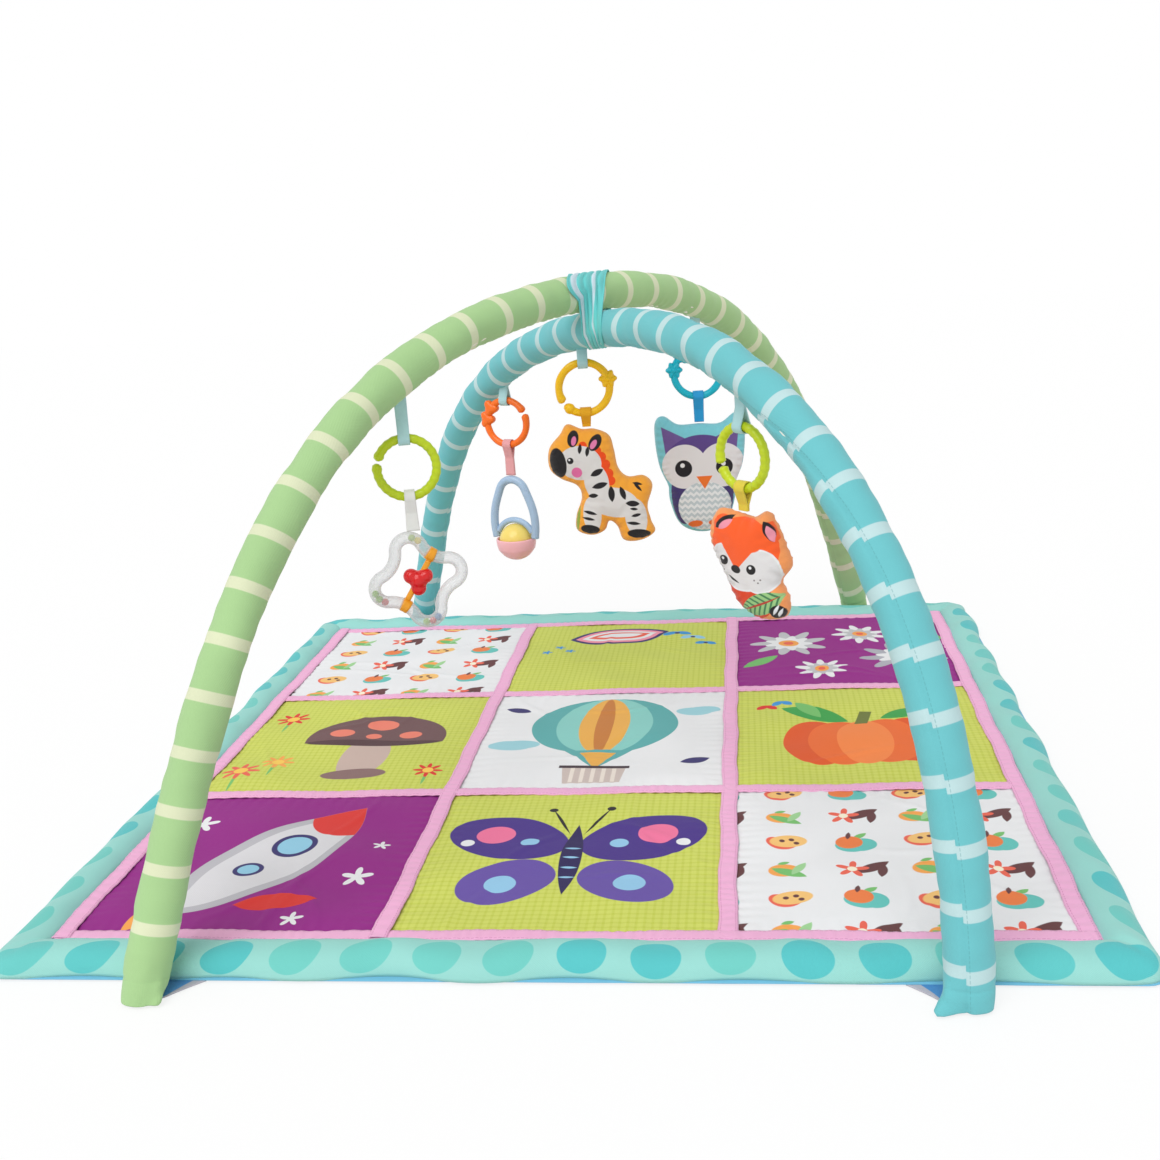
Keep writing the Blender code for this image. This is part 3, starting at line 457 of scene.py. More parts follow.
def makeLight():
    sun = bpy.data.lights.new("sun", "SUN")
    sun.energy = lightSet["sun"]
    sun.angle = lightSet["softness"]
    lamp = bpy.data.objects.new("sun", sun)
    lamp.rotation_euler = Vector(lightSet["from"]).to_track_quat("Z", "Y").to_euler()
    scene.collection.objects.link(lamp)
    world = bpy.data.worlds.new("studio")
    world.use_nodes = True
    scene.world = world
    flow = Flow(world.node_tree)
    back = world.node_tree.nodes["Background"]
    back.inputs["Color"].default_value = (1, 1, 1, 1)
    back.inputs["Strength"].default_value = lightSet["sky"]
    white = flow.make("ShaderNodeBackground", None, {"Color": (1, 1, 1, 1), "Strength": 1.0})
    pick = flow.make("ShaderNodeMixShader", None,
                     {0: seenRays(flow), 1: Flow(flow.tree, back.outputs[0]), 2: white})
    flow.tree.links.new(pick.socket, world.node_tree.nodes["World Output"].inputs["Surface"])


# White floor: what the camera sees is mostly plain white, and the rest shows the soft shadow.
def makeFloor():
    reach, height = floorSet["reach"], floorSet["height"]
    corners = np.array([[[-reach, -reach, height], [-reach, reach, height]],
                        [[reach, -reach, height], [reach, reach, height]]])
    material, flow, shader = startMaterial("floorPaper", 0.9, Base_Color=(0.93, 0.93, 0.93, 1))
    glow = flow.make("ShaderNodeEmission", None, {"Color": (1, 1, 1, 1), "Strength": 1.0})
    pick = flow.make("ShaderNodeMixShader", None,
                     {0: seenRays(flow) * floorSet["white"], 1: Flow(flow.tree, shader.outputs[0]), 2: glow})
    flow.tree.links.new(pick.socket, flow.tree.nodes["Material Output"].inputs["Surface"])
    floor = surface("floor", [{"points": corners}], material, weld=False)


makeCamera()
makeLight()
makeFloor()
print("camera, light and floor are set")

# Arch sleeves

archSet = {"footX": 0.290, "footY": 0.4468, "footHeight": 0.0045, "radius": 0.0168, "shift": 0.016,
           "stations": 620, "sides": 56, "footRun": 0.03, "floorGap": 0.0017, "neck": 0.90, "gather": 0.0060,
           "pleats": 7, "hem": 0.015, "hemGroove": 0.0005, "seamGroove": 0.0011, "longFold": 0.00060,
           "shortFold": 0.00030, "crease": 0.00055, "stripePitch": 0.042, "stripeWidth": 0.0088,
           "slip": 0.0042}
# each foot's angle and handle, and the two handles at the top
archCurves = {"green": {"rear": (68, 0.300), "top": (0.318, 0.318), "front": (-68, 0.300)},
              "teal": {"rear": (63, 0.250), "top": (0.397, 0.212), "front": (-89, 0.315)}}
tealTop = (0.106, 0.4255)
sleeveSet = {
    "green": {"cloth": tint(168, 206, 144), "stripe": tint(220, 226, 190), "slant": 1, "phase": 0.0086,
              "flap": 0.30, "seed": 11},
    "teal": {"cloth": tint(108, 193, 199), "stripe": tint(190, 220, 222), "slant": -1, "phase": 0.0033,
             "flap": 0.72, "seed": 12},
}


# Cubic arc between two ends; each end is a point and the handle it leaves with.
def cubicArc(start, end, count=240):
    t = np.linspace(0, 1, count)[:, None]
    a, d = np.array(start[0]), np.array(end[0])
    b, c = a + start[1], d - end[1]
    return (1 - t) ** 3 * a + 3 * (1 - t) ** 2 * t * b + 3 * (1 - t) * t * t * c + t ** 3 * d


def handle(angle, length):
    return toward(radians(angle)) * length


# Two arcs that meet level at the top of an arch, in the arch's own plane.
def archArcs(name, top, span):
    curve, foot = archCurves[name], archSet["footHeight"]
    rear = cubicArc(((-span, foot), handle(*curve["rear"])), (top, handle(0, curve["top"][0])))
    front = cubicArc((top, handle(0, curve["top"][1])), ((span, foot), handle(*curve["front"])))
    return np.concatenate([rear, front[1:]])


# Centreline lifted into the room; green rests on teal, and the crossing is drawn a little aside.
def archLine(name):
    span = sqrt(archSet["footX"] ** 2 + archSet["footY"] ** 2)
    flat = archArcs("teal", tealTop, span)
    if name == "green":
        top = (0.0, np.interp(0, flat[:, 0], flat[:, 1]) + 2 * archSet["radius"] + 0.0004)
        flat = archArcs("green", top, span)
    heading = np.array([archSet["footX"], sleeveSet[name]["slant"] * archSet["footY"], 0]) / span
    pull = np.clip(1 - (flat[:, 0] / span) ** 2, 0, None) ** 4
    room = flat[:, :1] * heading + flat[:, 1:] * np.array([0, 0, 1.0])
    room[:, 0] += archSet["shift"] * pull
    return room, heading


def sleeveCloth(name):
    ground, stripe = sleeveSet[name]["cloth"], sleeveSet[name]["stripe"]

    def draw(flow, spot):
        x, y = spot.parts()
        off = x.calc("PINGPONG", archSet["stripePitch"] / 2) - archSet["stripeWidth"] / 2
        cloth = off.inside(0.0008).mix(ground, stripe)
        thread = stitches(y, x, 0.0026) * 0.45
        return thread.mix(cloth, darker(ground, 0.6))
    return clothLook(name + "SleeveCloth", draw, drift=0.12)


# Sleeve: a tube round the arch whose radius has soft folds, a sewn seam, creases on the inner bend,
# a stitched hem, and a corner of cloth that folds out at each foot.
def makeSleeve(name):
    line, heading = archLine(name)
    values, floorGap, neck = sleeveSet[name], archSet["floorGap"], archSet["neck"]
    fine, run = evenly(line, 4000)
    length, radius, sides = run[-1], archSet["radius"], archSet["sides"]
    foot = np.linspace(0, archSet["footRun"], 40)
    middle = np.linspace(foot[-1], length - foot[-1], archSet["stations"])
    along = np.concatenate([foot[:-1], middle, length - foot[-2::-1]])
    line = np.stack([np.interp(along, run, fine[:, axis]) for axis in range(3)], 1)
    ahead = unit(np.gradient(line, axis=0))
    plane = np.cross(heading, [0, 0, 1.0])
    side = unit(plane - (ahead @ plane)[:, None] * ahead)
    outer = np.cross(side, ahead)
    share = along / length
    if name == "teal":
        seam = radians(-115) + radians(157) * smoothStep((share - 0.52) / 0.30)
    else:
        seam = np.full_like(share, radians(-100))
    step = np.arange(sides + 1) / sides
    angle = seam[:, None] + turn * step[None, :-1]
    s = along[:, None]
    wave = folds(s, angle, 0.17, values["seed"]) * archSet["longFold"]
    wave += folds(s, angle, 0.045, values["seed"] + 10, turns=2) * archSet["shortFold"]
    bend = np.clip(-np.sin(angle), 0, 1) ** 2 * smoothStep(1 - np.abs(share[:, None] - 0.5) / 0.33)
    wave += bend * np.sin(turn * s / 0.0105 + 2.2 * np.sin(s * 37)) * archSet["crease"]
    fromSeam = np.minimum(step[:-1], 1 - step[:-1]) * turn * radius
    wave -= archSet["seamGroove"] * np.exp(-(fromSeam / 0.0013) ** 2)[None, :]
    tip = np.minimum(s, length - s)
    wave -= archSet["hemGroove"] * np.exp(-((tip - archSet["hem"]) / 0.0012) ** 2)
    aside = (angle + pi) % turn - pi
    fold = np.exp(-(aside / 0.30) ** 2) - 0.25 * np.exp(-((np.abs(aside) - 0.68) / 0.25) ** 2)
    fold = fold * (1 + 0.16 * np.sin(tip / 0.0019 + 8 * aside))
    flap = 1 + values["flap"] * fold * np.exp(-(tip / 0.0105) ** 1.5)
    gather = neck + (1 - neck) * np.sqrt(smoothStep(tip / archSet["gather"] * 0.5 + 0.12))
    pleat = 1 + 0.04 * np.exp(-tip / 0.010) * np.cos(archSet["pleats"] * angle + 1.5 * np.sin(angle * 2))
    size = np.minimum(radius + wave, radius + 0.0006) * np.minimum(gather, 1) * pleat * flap
    ring = circle(angle, side[:, None], outer[:, None])
    level = smoothStep(tip / 0.034)
    ring[..., 2] *= level
    points = line[:, None] + size[..., None] * ring
    points[..., 2] -= (archSet["footHeight"] - floorGap) * (1 - level)
    points = capped(line, points)
    points[..., 2] = np.maximum(points[..., 2], floorGap)
    u = np.concatenate([along[:1], along, along[-1:]])[:, None] - values["phase"]
    u = np.maximum(u, 0.0066) + archSet["slip"] * step[None]
    v = np.broadcast_to(turn * radius * step[None], u.shape)
    grid = {"points": points, "wrapV": True, "uv": np.stack([u, v], -1)}
    piece = surface(name + "Sleeve", [grid], sleeveCloth(name))
    fit(piece, "gym", [name + "_cover"])
    return line


greenLine = makeSleeve("green")
tealLine = makeSleeve("teal")
print("arch sleeves are made")

# Band where the arches cross

bandSet = {"topWidth": 0.031, "lowWidth": 0.018, "lowShift": 0.006, "gap": 0.0013, "columns": 61,
           "steps": 150, "folds": 5.4, "foldDepth": 0.0021, "length": 0.30, "thickness": 0.0011}


# Direction of an arch where it passes the crossing.
def crossingRun(line):
    middle = np.argmin(np.hypot(line[:, 0] - archSet["shift"], line[:, 1]))
    return line[middle], unit(line[middle + 12] - line[middle - 12])


# The point of a sleeve's section at x that lies furthest towards each facing direction.
def sleeveRim(spot, run, x, facing):
    slant = np.array([0, run[1], run[2]])
    stretched = facing + (facing @ slant)[..., None] * slant / run[0] ** 2
    reach = (archSet["radius"] + bandSet["gap"]) / np.sqrt((facing * stretched).sum(-1))
    return spot + run * (x / run[0])[..., None] + stretched * reach[..., None]


# Band: a loop drawn tight round both sleeves, wide above and narrow below. At every x it is the tight
# outline round both sections; folds that run along it push it outwards.
def makeBand():
    angle = np.linspace(0, turn, 500) + pi / 2
    facing = np.stack([0 * angle, np.cos(angle), np.sin(angle)], 1)
    low = (1 - facing[:, 2]) / 2
    width = bandSet["topWidth"] + (bandSet["lowWidth"] - bandSet["topWidth"]) * low
    share = np.linspace(-0.5, 0.5, bandSet["columns"])
    rows, run = [], 0
    for part in share:
        x = part * width + bandSet["lowShift"] * low
        upper = sleeveRim(*crossingRun(greenLine), x, facing)
        lower = sleeveRim(*crossingRun(tealLine), x, facing)
        higher = (upper * facing).sum(1) > (lower * facing).sum(1)
        loop, run = evenly(np.where(higher[:, None], upper, lower), bandSet["steps"] + 1)
        rows.append(loop[:-1])
    points = np.stack(rows)
    ahead = unit(np.roll(points, -1, 1) - np.roll(points, 1, 1))
    outward = unit(np.cross(ahead, [-1.0, 0, 0]))
    sway = turn * np.arange(bandSet["steps"])[None] / bandSet["steps"]
    bend = 1.3 * np.sin(sway + 0.5) + 0.5 * np.sin(3 * sway)
    fold = np.abs(np.sin(pi * bandSet["folds"] * share[:, None] + bend))
    fold = bandSet["foldDepth"] * (1 - fold) * (1 - (2 * share[:, None]) ** 8)
    points = points + outward * fold[..., None]
    uv = np.stack(np.broadcast_arrays(run[None], share[:, None]), -1)
    deep, pale = tint(104, 206, 204), tint(206, 226, 236)

    def draw(flow, spot):
        along, across = spot.parts()
        stripe = (across + 0.34).calc("ABSOLUTE") - 0.075
        second = (across - 0.17).calc("ABSOLUTE") - 0.045
        return stripe.calc("MINIMUM", second).inside(0.02).mix(deep, pale)
    piece = surface("crossingBand", [{"points": points, "wrapV": True, "uv": uv}],
                    clothLook("bandCloth", draw), weld=False, thickness=bandSet["thickness"], offset=0)
    fit(piece, "gym", ["crossing_band"])


makeBand()
print("crossing band is made")

# Mat

matSet = {"half": 0.425, "corner": 0.016, "field": 0.389, "pitch": 0.2593333, "ribbon": 0.0148}
borderSet = {"low": 0.0018, "high": 0.0198, "dotPitch": 0.0520, "dotWidth": 0.0176, "dotHeight": 0.0152,
             "dotLine": 0.0405, "sides": 44, "squareness": 2.2, "wave": 0.0022, "lump": 0.0012,
             "fineLump": 0.0006, "pucker": 0.0008, "puckerPitch": 0.013, "cornerDip": 0.0028}


# Rounded square, counter-clockwise: corner arcs with straight sides between them.
def squareLoop(half, corner, perSide=110, perCorner=9):
    rows = []
    for quarter in range(4):
        angle = quarter * pi / 2 + np.linspace(0, pi / 2, perCorner)
        bend = arc(corner, angle, (half - corner) * sqrt(2) * toward(pi / 4 + quarter * pi / 2))
        ahead = toward((quarter + 2) * pi / 2)
        side = bend[-1] + 2 * (half - corner) * ahead * np.linspace(0, 1, perSide + 2)[1:-1, None]
        rows += [bend, side]
    return np.concatenate(rows)


# Border: a soft roll between the inner and the outer square, a dome on a flat base in section, with lumps.
def makeBorder():
    inner, outer = squareLoop(matSet["field"] - 0.002, 0.001), squareLoop(matSet["half"], matSet["corner"])
    middle = (inner + outer) / 2
    steps = np.linalg.norm(np.diff(middle, axis=0, append=middle[:1]), axis=1)
    run = np.concatenate([[0], np.cumsum(steps)])
    angle = pi - np.arange(borderSet["sides"]) * turn / borderSet["sides"]
    power = 2 / borderSet["squareness"]
    w = 0.5 + 0.5 * np.sign(np.cos(angle)) * np.abs(np.cos(angle)) ** power
    h = np.clip(np.sin(angle), 0, 1) ** power
    s = run[:-1, None]
    lump = folds(s, 0 * w[None], 0.19, 31) * borderSet["lump"]
    lump = lump + folds(s, 3 * w[None], 0.06, 32, turns=1) * borderSet["fineLump"]
    pucker = np.exp(-((w[None] - 0.02) / 0.20) ** 2) * np.sin(turn * s / borderSet["puckerPitch"]
                                                             + 2 * np.sin(s * 31)) * borderSet["pucker"]
    bends = run[np.arange(4) * (len(middle) // 4) + 4]
    dip = np.exp(-((s[..., None] - bends) / (0.003 + 0.004 * w[None, :, None])) ** 2).sum(-1)
    lump = lump - borderSet["cornerDip"] * dip
    edge = folds(s, 0 * w[None], 0.23, 33) * borderSet["wave"] * w[None]
    span = outer - inner
    flat = inner[:, None] + span[:, None] * w[None, :, None] + unit(span)[:, None] * edge[..., None]
    top = borderSet["high"] - borderSet["low"] + (lump + pucker) * np.sin(pi * np.clip(w, 0.06, 0.94))[None]
    z = borderSet["low"] + top * h[None]
    points = np.concatenate([flat, np.broadcast_to(z, flat.shape[:2])[..., None]], -1)
    across = np.concatenate([[0], np.cumsum(np.hypot(np.diff(w, append=w[:1]) * 0.038,
                                                     np.diff(h, append=h[:1]) * 0.0180))])
    uv = np.stack(np.broadcast_arrays(run[:, None], across[None]), -1)
    shades = [tint(152, 214, 206), tint(86, 193, 195), tint(112, 203, 194)]

    def draw(flow, spot):
        x, y = spot.parts()
        cell = (x / borderSet["dotPitch"]).calc("FLOOR")
        pick = flow.make("ShaderNodeTexWhiteNoise", {"noise_dimensions": "1D"}, {"W": cell + 3.5})
        drop = (pick - 0.5) * 0.003
        off = (x / borderSet["dotPitch"] - cell - 0.5) * (borderSet["dotPitch"] / borderSet["dotWidth"])
        tall = (y - borderSet["dotLine"] + drop) / borderSet["dotHeight"]
        lean = off + tall * 0.10
        reach = ((lean * lean + tall * tall).calc("SQRT") - 1.0) * borderSet["dotWidth"]
        shade = (pick * 7.3).calc("FRACT").calc("MULTIPLY_ADD", 6.0, -2.5, clamp=True)
        return reach.inside(0.0006).mix(shades[0], shade.mix(shades[1], shades[2]))
    piece = surface("matBorder", [{"points": points, "wrapU": True, "wrapV": True, "uv": uv}],
                    clothLook("borderCloth", draw))
    fit(piece, "gym", ["mat_border"])


backingSet = {"inset": 0.0002, "rings": 22, "low": 0.0004, "ripple": 0.0003, "roll": 0.0016, "top": 0.0014,
              "rim": 0.0022, "fold": 0.0024}


# Backing: scaled copies of the outline from the middle to the rim, a thin sheet with a rolled edge.
def makeBacking():
    loop = squareLoop(matSet["half"] - backingSet["inset"], matSet["corner"], 60, 7)
    size = np.linspace(0, 1, backingSet["rings"])
    lift = backingSet["low"] + backingSet["ripple"] * np.sin(loop[:, :1] * 61) * np.sin(loop[:, 1:] * 47)
    under = loop[None] * size[:, None, None]
    rim = 1 + backingSet["roll"] / matSet["half"] * np.sin(np.linspace(0, pi, 7))[1:-1]
    edge = loop[None] * rim[:, None, None]
    flat = np.concatenate([under, edge, under[::-1]])
    low = np.broadcast_to(lift.T, (len(size), len(loop)))
    edgeZ = backingSet["low"] + backingSet["rim"] * np.linspace(0, 1, 7)[1:-1, None] + 0 * lift.T
    z = np.concatenate([low, edgeZ, backingSet["top"] + 0 * low])
    z[len(size) + 5] = backingSet["fold"]
    points = np.concatenate([flat, z[..., None]], -1)
    uv = np.concatenate([flat, flat[:, :1]], 1)
    piece = surface("matBacking", [{"points": points, "wrapV": True, "uv": uv}],
                    plainCloth("backingCloth", tint(116, 190, 222)))
    fit(piece, "gym", ["mat_backing"])


makeBorder()
makeBacking()
print("mat border and backing are made")

# Patches and their prints

lime, limeDeep = tint(209, 216, 104), tint(194, 203, 80)
purple = tint(148, 36, 134)
white = tint(236, 236, 238)
coral, teal, orange, brown = tint(236, 104, 84), tint(102, 196, 188), tint(246, 166, 84), tint(100, 60, 62)
leafGreen, navy, pink, grey = tint(120, 190, 110), tint(58, 52, 108), tint(244, 150, 170), tint(196, 196, 200)
black, cream, red, blue = tint(38, 34, 40), tint(250, 240, 214), tint(222, 58, 52), tint(64, 150, 214)


# Fine gingham: thin lines both ways darken the cloth a little.
def gingham(flow, spot, light, deep, pitch=0.0062):
    x, y = spot.parts()
    lines = (x.calc("PINGPONG", pitch / 2) - pitch * 0.17).inside(0.0008)
    rows = (y.calc("PINGPONG", pitch / 2) - pitch * 0.17).inside(0.0008)
    return (lines * 0.5 + rows * 0.5).mix(light, deep)


def drawKite(art):
    sails = ((62, 30, navy), (55, 25, pink), (47, 19, white), (39, 13, coral), (29, 7, white))
    for length, width, shade in sails:
        art.leaf((-10, 66), length, width, shade, 8)
    for x, y, size, shade in ((62, 66, 15, blue), (82, 52, 13, tint(150, 205, 236)), (98, 34, 11, blue)):
        art.leaf((x - size * 0.55, y), size * 0.7, size * 0.38, shade, 25)
        art.leaf((x + size * 0.55, y), size * 0.7, size * 0.38, shade, -25)
        art.disc((x, y), size * 0.22, navy)
    for x, y in ((-80, 26), (-66, 12), (-94, 8)):
        art.petals((x, y), 7, 0.3, 5, blue)


def drawDaisies(art):
    for x, y, size, shade in ((-62, 20, 46, grey), (24, 48, 34, white), (66, -34, 50, tint(176, 176, 186)),
                              (-28, -70, 30, white)):
        art.petals((x, y), size, 0.24, 9, shade, x)
        art.petals((x, y), size * 0.62, 0.16, 9, white if shade != white else grey, x + 20)
        art.disc((x, y), size * 0.26, orange)
        art.disc((x, y), size * 0.13, coral)
    art.leaf((-96, -44), 26, 9, leafGreen, 40)
    art.leaf((104, 40), 24, 8, leafGreen, -50)


def drawMushroom(art):
    art.oval((22, -44), (25, 50), tint(202, 178, 168))
    art.oval((22, -84), (33, 13), tint(138, 108, 106))
    cap = art.ovalMask((22, 2), (74, 66)) * art.sidesMask([(-70, -8), (110, -8), (110, 90), (-70, 90)])
    art.paint(cap, tint(112, 82, 84))
    art.oval((22, -8), (72, 8), tint(84, 58, 62))
    for x, y, size in ((-18, 18, 11), (20, 42, 14), (56, 16, 10), (18, 10, 7)):
        art.oval((x, y), (size * 1.2, size), tint(238, 132, 112))
    for x, y, size, shade in ((-88, 66, 19, red), (-94, -78, 20, coral), (-64, -54, 17, orange),
                              (96, -78, 15, red)):
        art.leaf((x, y - size * 1.2), size * 0.95, 1.6, leafGreen, 90)
        art.petals((x, y), size, 0.3, 8, shade)
        art.disc((x, y), size * 0.36, tint(250, 206, 92))


def drawBalloon(art):
    sea, amber = tint(96, 172, 172), tint(236, 176, 84)
    for wide, shade in ((76, sea), (50, tint(140, 206, 198)), (26, amber), (9, tint(200, 126, 62))):
        art.oval((0, 30), (wide, 74), shade)
    art.sides([(-34, -36), (-2, -78), (2, -78), (34, -36)], sea)
    art.sides([(-18, -42), (-1.5, -78), (1.5, -78), (18, -42)], amber)
    art.sides([(-27, -112), (27, -112), (31, -76), (-31, -76)], tint(206, 190, 184))
    for x in (-20, -10, 0, 10, 20):
        art.sides([(x - 2, -110), (x + 2, -110), (x + 2, -79), (x - 2, -79)], tint(236, 224, 214))
    art.sides([(-34, -80), (34, -80), (34, -74), (-34, -74)], tint(66, 52, 60))
    for x, y, size in ((-92, -20, 17), (-80, -16, 14), (92, 66, 15), (102, 70, 13)):
        art.oval((x, y), (size * 1.3, size * 0.7), tint(160, 210, 220))
    art.leaf((96, -62), 15, 7, navy, 20)
    art.leaf((-98, 78), 15, 7, navy, -20)


def drawPumpkin(art):
    deep, bright, grass = tint(226, 92, 44), tint(238, 112, 54), tint(64, 160, 78)
    for x, wide, shade in ((-44, 34, deep), (46, 34, deep), (-20, 34, bright), (22, 34, bright),
                           (1, 27, tint(248, 138, 74))):
        art.oval((x, -24), (wide, 54), shade)
    art.sides([(-6, 22), (7, 22), (14, 52), (2, 54)], tint(110, 120, 60))
    art.leaf((-44, 50), 38, 15, grass, 150)
    art.leaf((-50, 62), 24, 8, leafGreen, 120)
    art.leaf((50, 46), 32, 12, grass, 24)
    for x, y, shade in ((-92, 74, red), (-76, 84, blue), (88, 84, orange)):
        art.leaf((x - 5, y), 8, 4.5, shade, 50)
        art.leaf((x + 5, y), 8, 4.5, shade, -50)


def drawRocket(art):
    art.leaf((-50, -58), 34, 12, red, 62)
    art.leaf((30, -74), 34, 12, red, 8)
    art.leaf((0, 0), 112, 46, tint(190, 188, 194), 58)
    art.leaf((3, 2), 100, 36, tint(222, 220, 224), 58)
    art.paint(art.leafMask((0, 0), 112, 46, 58) * art.ovalMask((66, 100), (64, 46), 58), red)
    for x, y, frameSize, paneSize in ((14, 24, 20, 15), (-12, -20, 13, 9)):
        art.disc((x, y), frameSize, navy)
        art.disc((x, y), paneSize, tint(150, 205, 230))
    art.leaf((-66, -96), 26, 10, orange, 58)
    for x, y, size in ((-86, 66, 15), (86, -34, 14), (-90, -6, 9), (92, 22, 8), (52, -100, 10)):
        art.petals((x, y), size, 0.34, 5, white, 18)


def drawButterfly(art):
    wing, pale, sky = tint(74, 52, 134), tint(104, 82, 164), tint(150, 200, 232)
    for side in (-1, 1):
        art.oval((side * 58, 34), (56, 38), wing, side * 24)
        art.oval((side * 48, -42), (42, 31), pale, side * -32)
        art.disc((side * 70, 40), 17, tint(240, 120, 160))
        art.disc((side * 38, 24), 8, sky)
        art.disc((side * 52, -46), 13, sky)
        art.disc((side * 92, 24), 6, white)
        art.leaf((side * 16, 66), 24, 1.5, black, 90 - side * 24)
        art.disc((side * 26, 88), 4, black)
    art.leaf((0, -2), 62, 9, tint(44, 34, 84), 90)
    for y in (-34, -18, -2, 14):
        art.leaf((0, y), 7, 1.6, sky)


def drawFruit(art):
    art.oval((-22, 15), (11, 9.5), teal)
    art.oval((-16, 15), (9, 9), teal)
    art.leaf((-17, 27), 6, 2.4, leafGreen, 40)
    art.leaf((-13, -16), 13, 4.5, brown, 34)
    art.leaf((-7, -20), 8, 3, brown, 80)
    art.oval((20, -19), (9.5, 8), orange)
    art.leaf((20, -9.5), 4, 1.8, leafGreen, 20)
    art.oval((17, 16), (6, 8.5), coral, 40)
    art.oval((23.5, 16), (6, 8.5), coral, -40)


def drawLeaves(art):
    art.leaf((-20, 14), 12, 4.2, leafGreen, -30)
    art.leaf((-14, 19), 9, 3, tint(160, 210, 150), 60)
    art.petals((18, 18), 10.5, 0.34, 5, coral, 10)
    art.disc((18, 18), 3, cream)
    art.oval((-19, -17), (12, 7.5), tint(246, 196, 120), 12)
    for seed in ((-23, -17), (-17, -15), (-14, -19)):
        art.disc(seed, 1.8, brown)
    art.oval((19, -17), (8.5, 8.5), tint(238, 128, 70))
    art.leaf((19, -8), 4.5, 1.6, brown, 80)


# Scattered print: one cell of fruit again and again, and a layer of leaves half a cell further.
def drawScatter(art):
    whole = art.spot
    for shift, layer in (((0, 0), drawFruit), ((43, 36), drawLeaves)):
        moved = whole.vector("ADD", (*shift, 0))
        art.spot = moved.make("ShaderNodeVectorMath", {"operation": "WRAP"},
                              {0: moved, 1: (43, 36, 1), 2: (-43, -36, -1)})
        layer(art)
    art.spot = whole


patchSet = {"points": 130, "crown": 0.0026, "edge": 0.0106, "pucker": 0.0008, "wave": 0.00115,
            "crease": 0.0011, "creases": 5, "creaseWidth": 0.0042, "puckerPitch": 0.0125, "puckerFade": 0.014,
            "low": 0.0102, "thickness": 0.0009}
patchPlan = {
    "patch_front_left": ("purple", drawRocket), "patch_front_centre": ("lime", drawButterfly),
    "patch_front_right": ("white", drawScatter), "patch_middle_left": ("lime", drawMushroom),
    "patch_middle_centre": ("white", drawBalloon), "patch_middle_right": ("lime", drawPumpkin),
    "patch_back_left": ("white", drawScatter), "patch_back_centre": ("lime", drawKite),
    "patch_back_right": ("purple", drawDaisies),
}


def patchCloth(name, ground, picture):
    def draw(flow, spot):
        if ground == "lime":
            base = gingham(flow, spot, lime, limeDeep)
        else:
            base = white if ground == "white" else purple
        art = Print(flow, spot, base, unit=0.00130 if picture is drawScatter else 0.001, soft=0.6)
        picture(art)
        return art.colour
    return clothLook(name + "Cloth", draw, roughness=0.75, drift=0.08, sheen=0.03)


# Creases: low narrow ridges along bent lines, each of which fades out at both ends.
def creases(x, y, half, seed):
    draw = np.random.default_rng(seed)
    total = np.zeros_like(x)
    for _ in range(patchSet["creases"]):
        heading, cx, cy = draw.uniform(0, pi), *draw.uniform(-0.7, 0.7, 2) * half
        along = (x - cx) * cos(heading) + (y - cy) * sin(heading)
        off = (y - cy) * cos(heading) - (x - cx) * sin(heading) + draw.uniform(-5, 5) * along ** 2
        long = draw.uniform(0.025, 0.06)
        total = total + np.exp(-(off / patchSet["creaseWidth"]) ** 2 - (along / long) ** 2)
    return total


# Patch: a square crowned in the middle, with slack waves, creases, and puckers that fade away from its seams.
def makePatch(node, seed):
    low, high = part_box(node)
    ground, picture = patchPlan[node]
    middle, half = (low + high) / 2, (high.x - low.x) / 2
    step = np.linspace(-1, 1, patchSet["points"])
    x, y = np.meshgrid(step, step, indexing="ij")
    crown = (1 - x ** 6) * (1 - y ** 6)
    tight = np.minimum(1 - np.abs(x), 1 - np.abs(y)) * half
    sewn = np.where(np.abs(x) > np.abs(y), y, x) * half
    pucker = np.sin(turn * sewn / patchSet["puckerPitch"] + 2 * np.sin(sewn * 43 + seed)) * patchSet["pucker"]
    pucker = pucker * np.exp(-tight / patchSet["puckerFade"]) * np.clip(tight / 0.011, 0, 1)
    wave = hills(x * half, y * half, 0.16, seed) * patchSet["wave"] * np.clip(tight / 0.03, 0, 1)
    wave = wave + creases(x * half, y * half, half, seed) * patchSet["crease"] * np.clip(tight / 0.02, 0, 1)
    z = patchSet["edge"] + patchSet["crown"] * np.sqrt(np.clip(crown, 0, 1)) + wave + pucker
    points = np.stack([middle.x + x * half, middle.y + y * half, np.maximum(z, patchSet["low"])], -1)
    uv = np.stack([x * half, y * half], -1)
    name = pieceName(node)
    piece = surface(name, [{"points": points, "uv": uv}], patchCloth(name, ground, picture), weld=False,
                    thickness=patchSet["thickness"])
    fit(piece, "gym", [node])


for number, node in enumerate(sorted(patchPlan)):
    makePatch(node, 50 + number)
print("patches are made")

ribbonSet = {"height": 0.0130, "ruffle": 0.00034, "pitch": 0.0105, "crown": 0.0008, "tuck": 0.0014,
             "lap": 0.0006, "thickness": 0.0007, "length": 6.55}


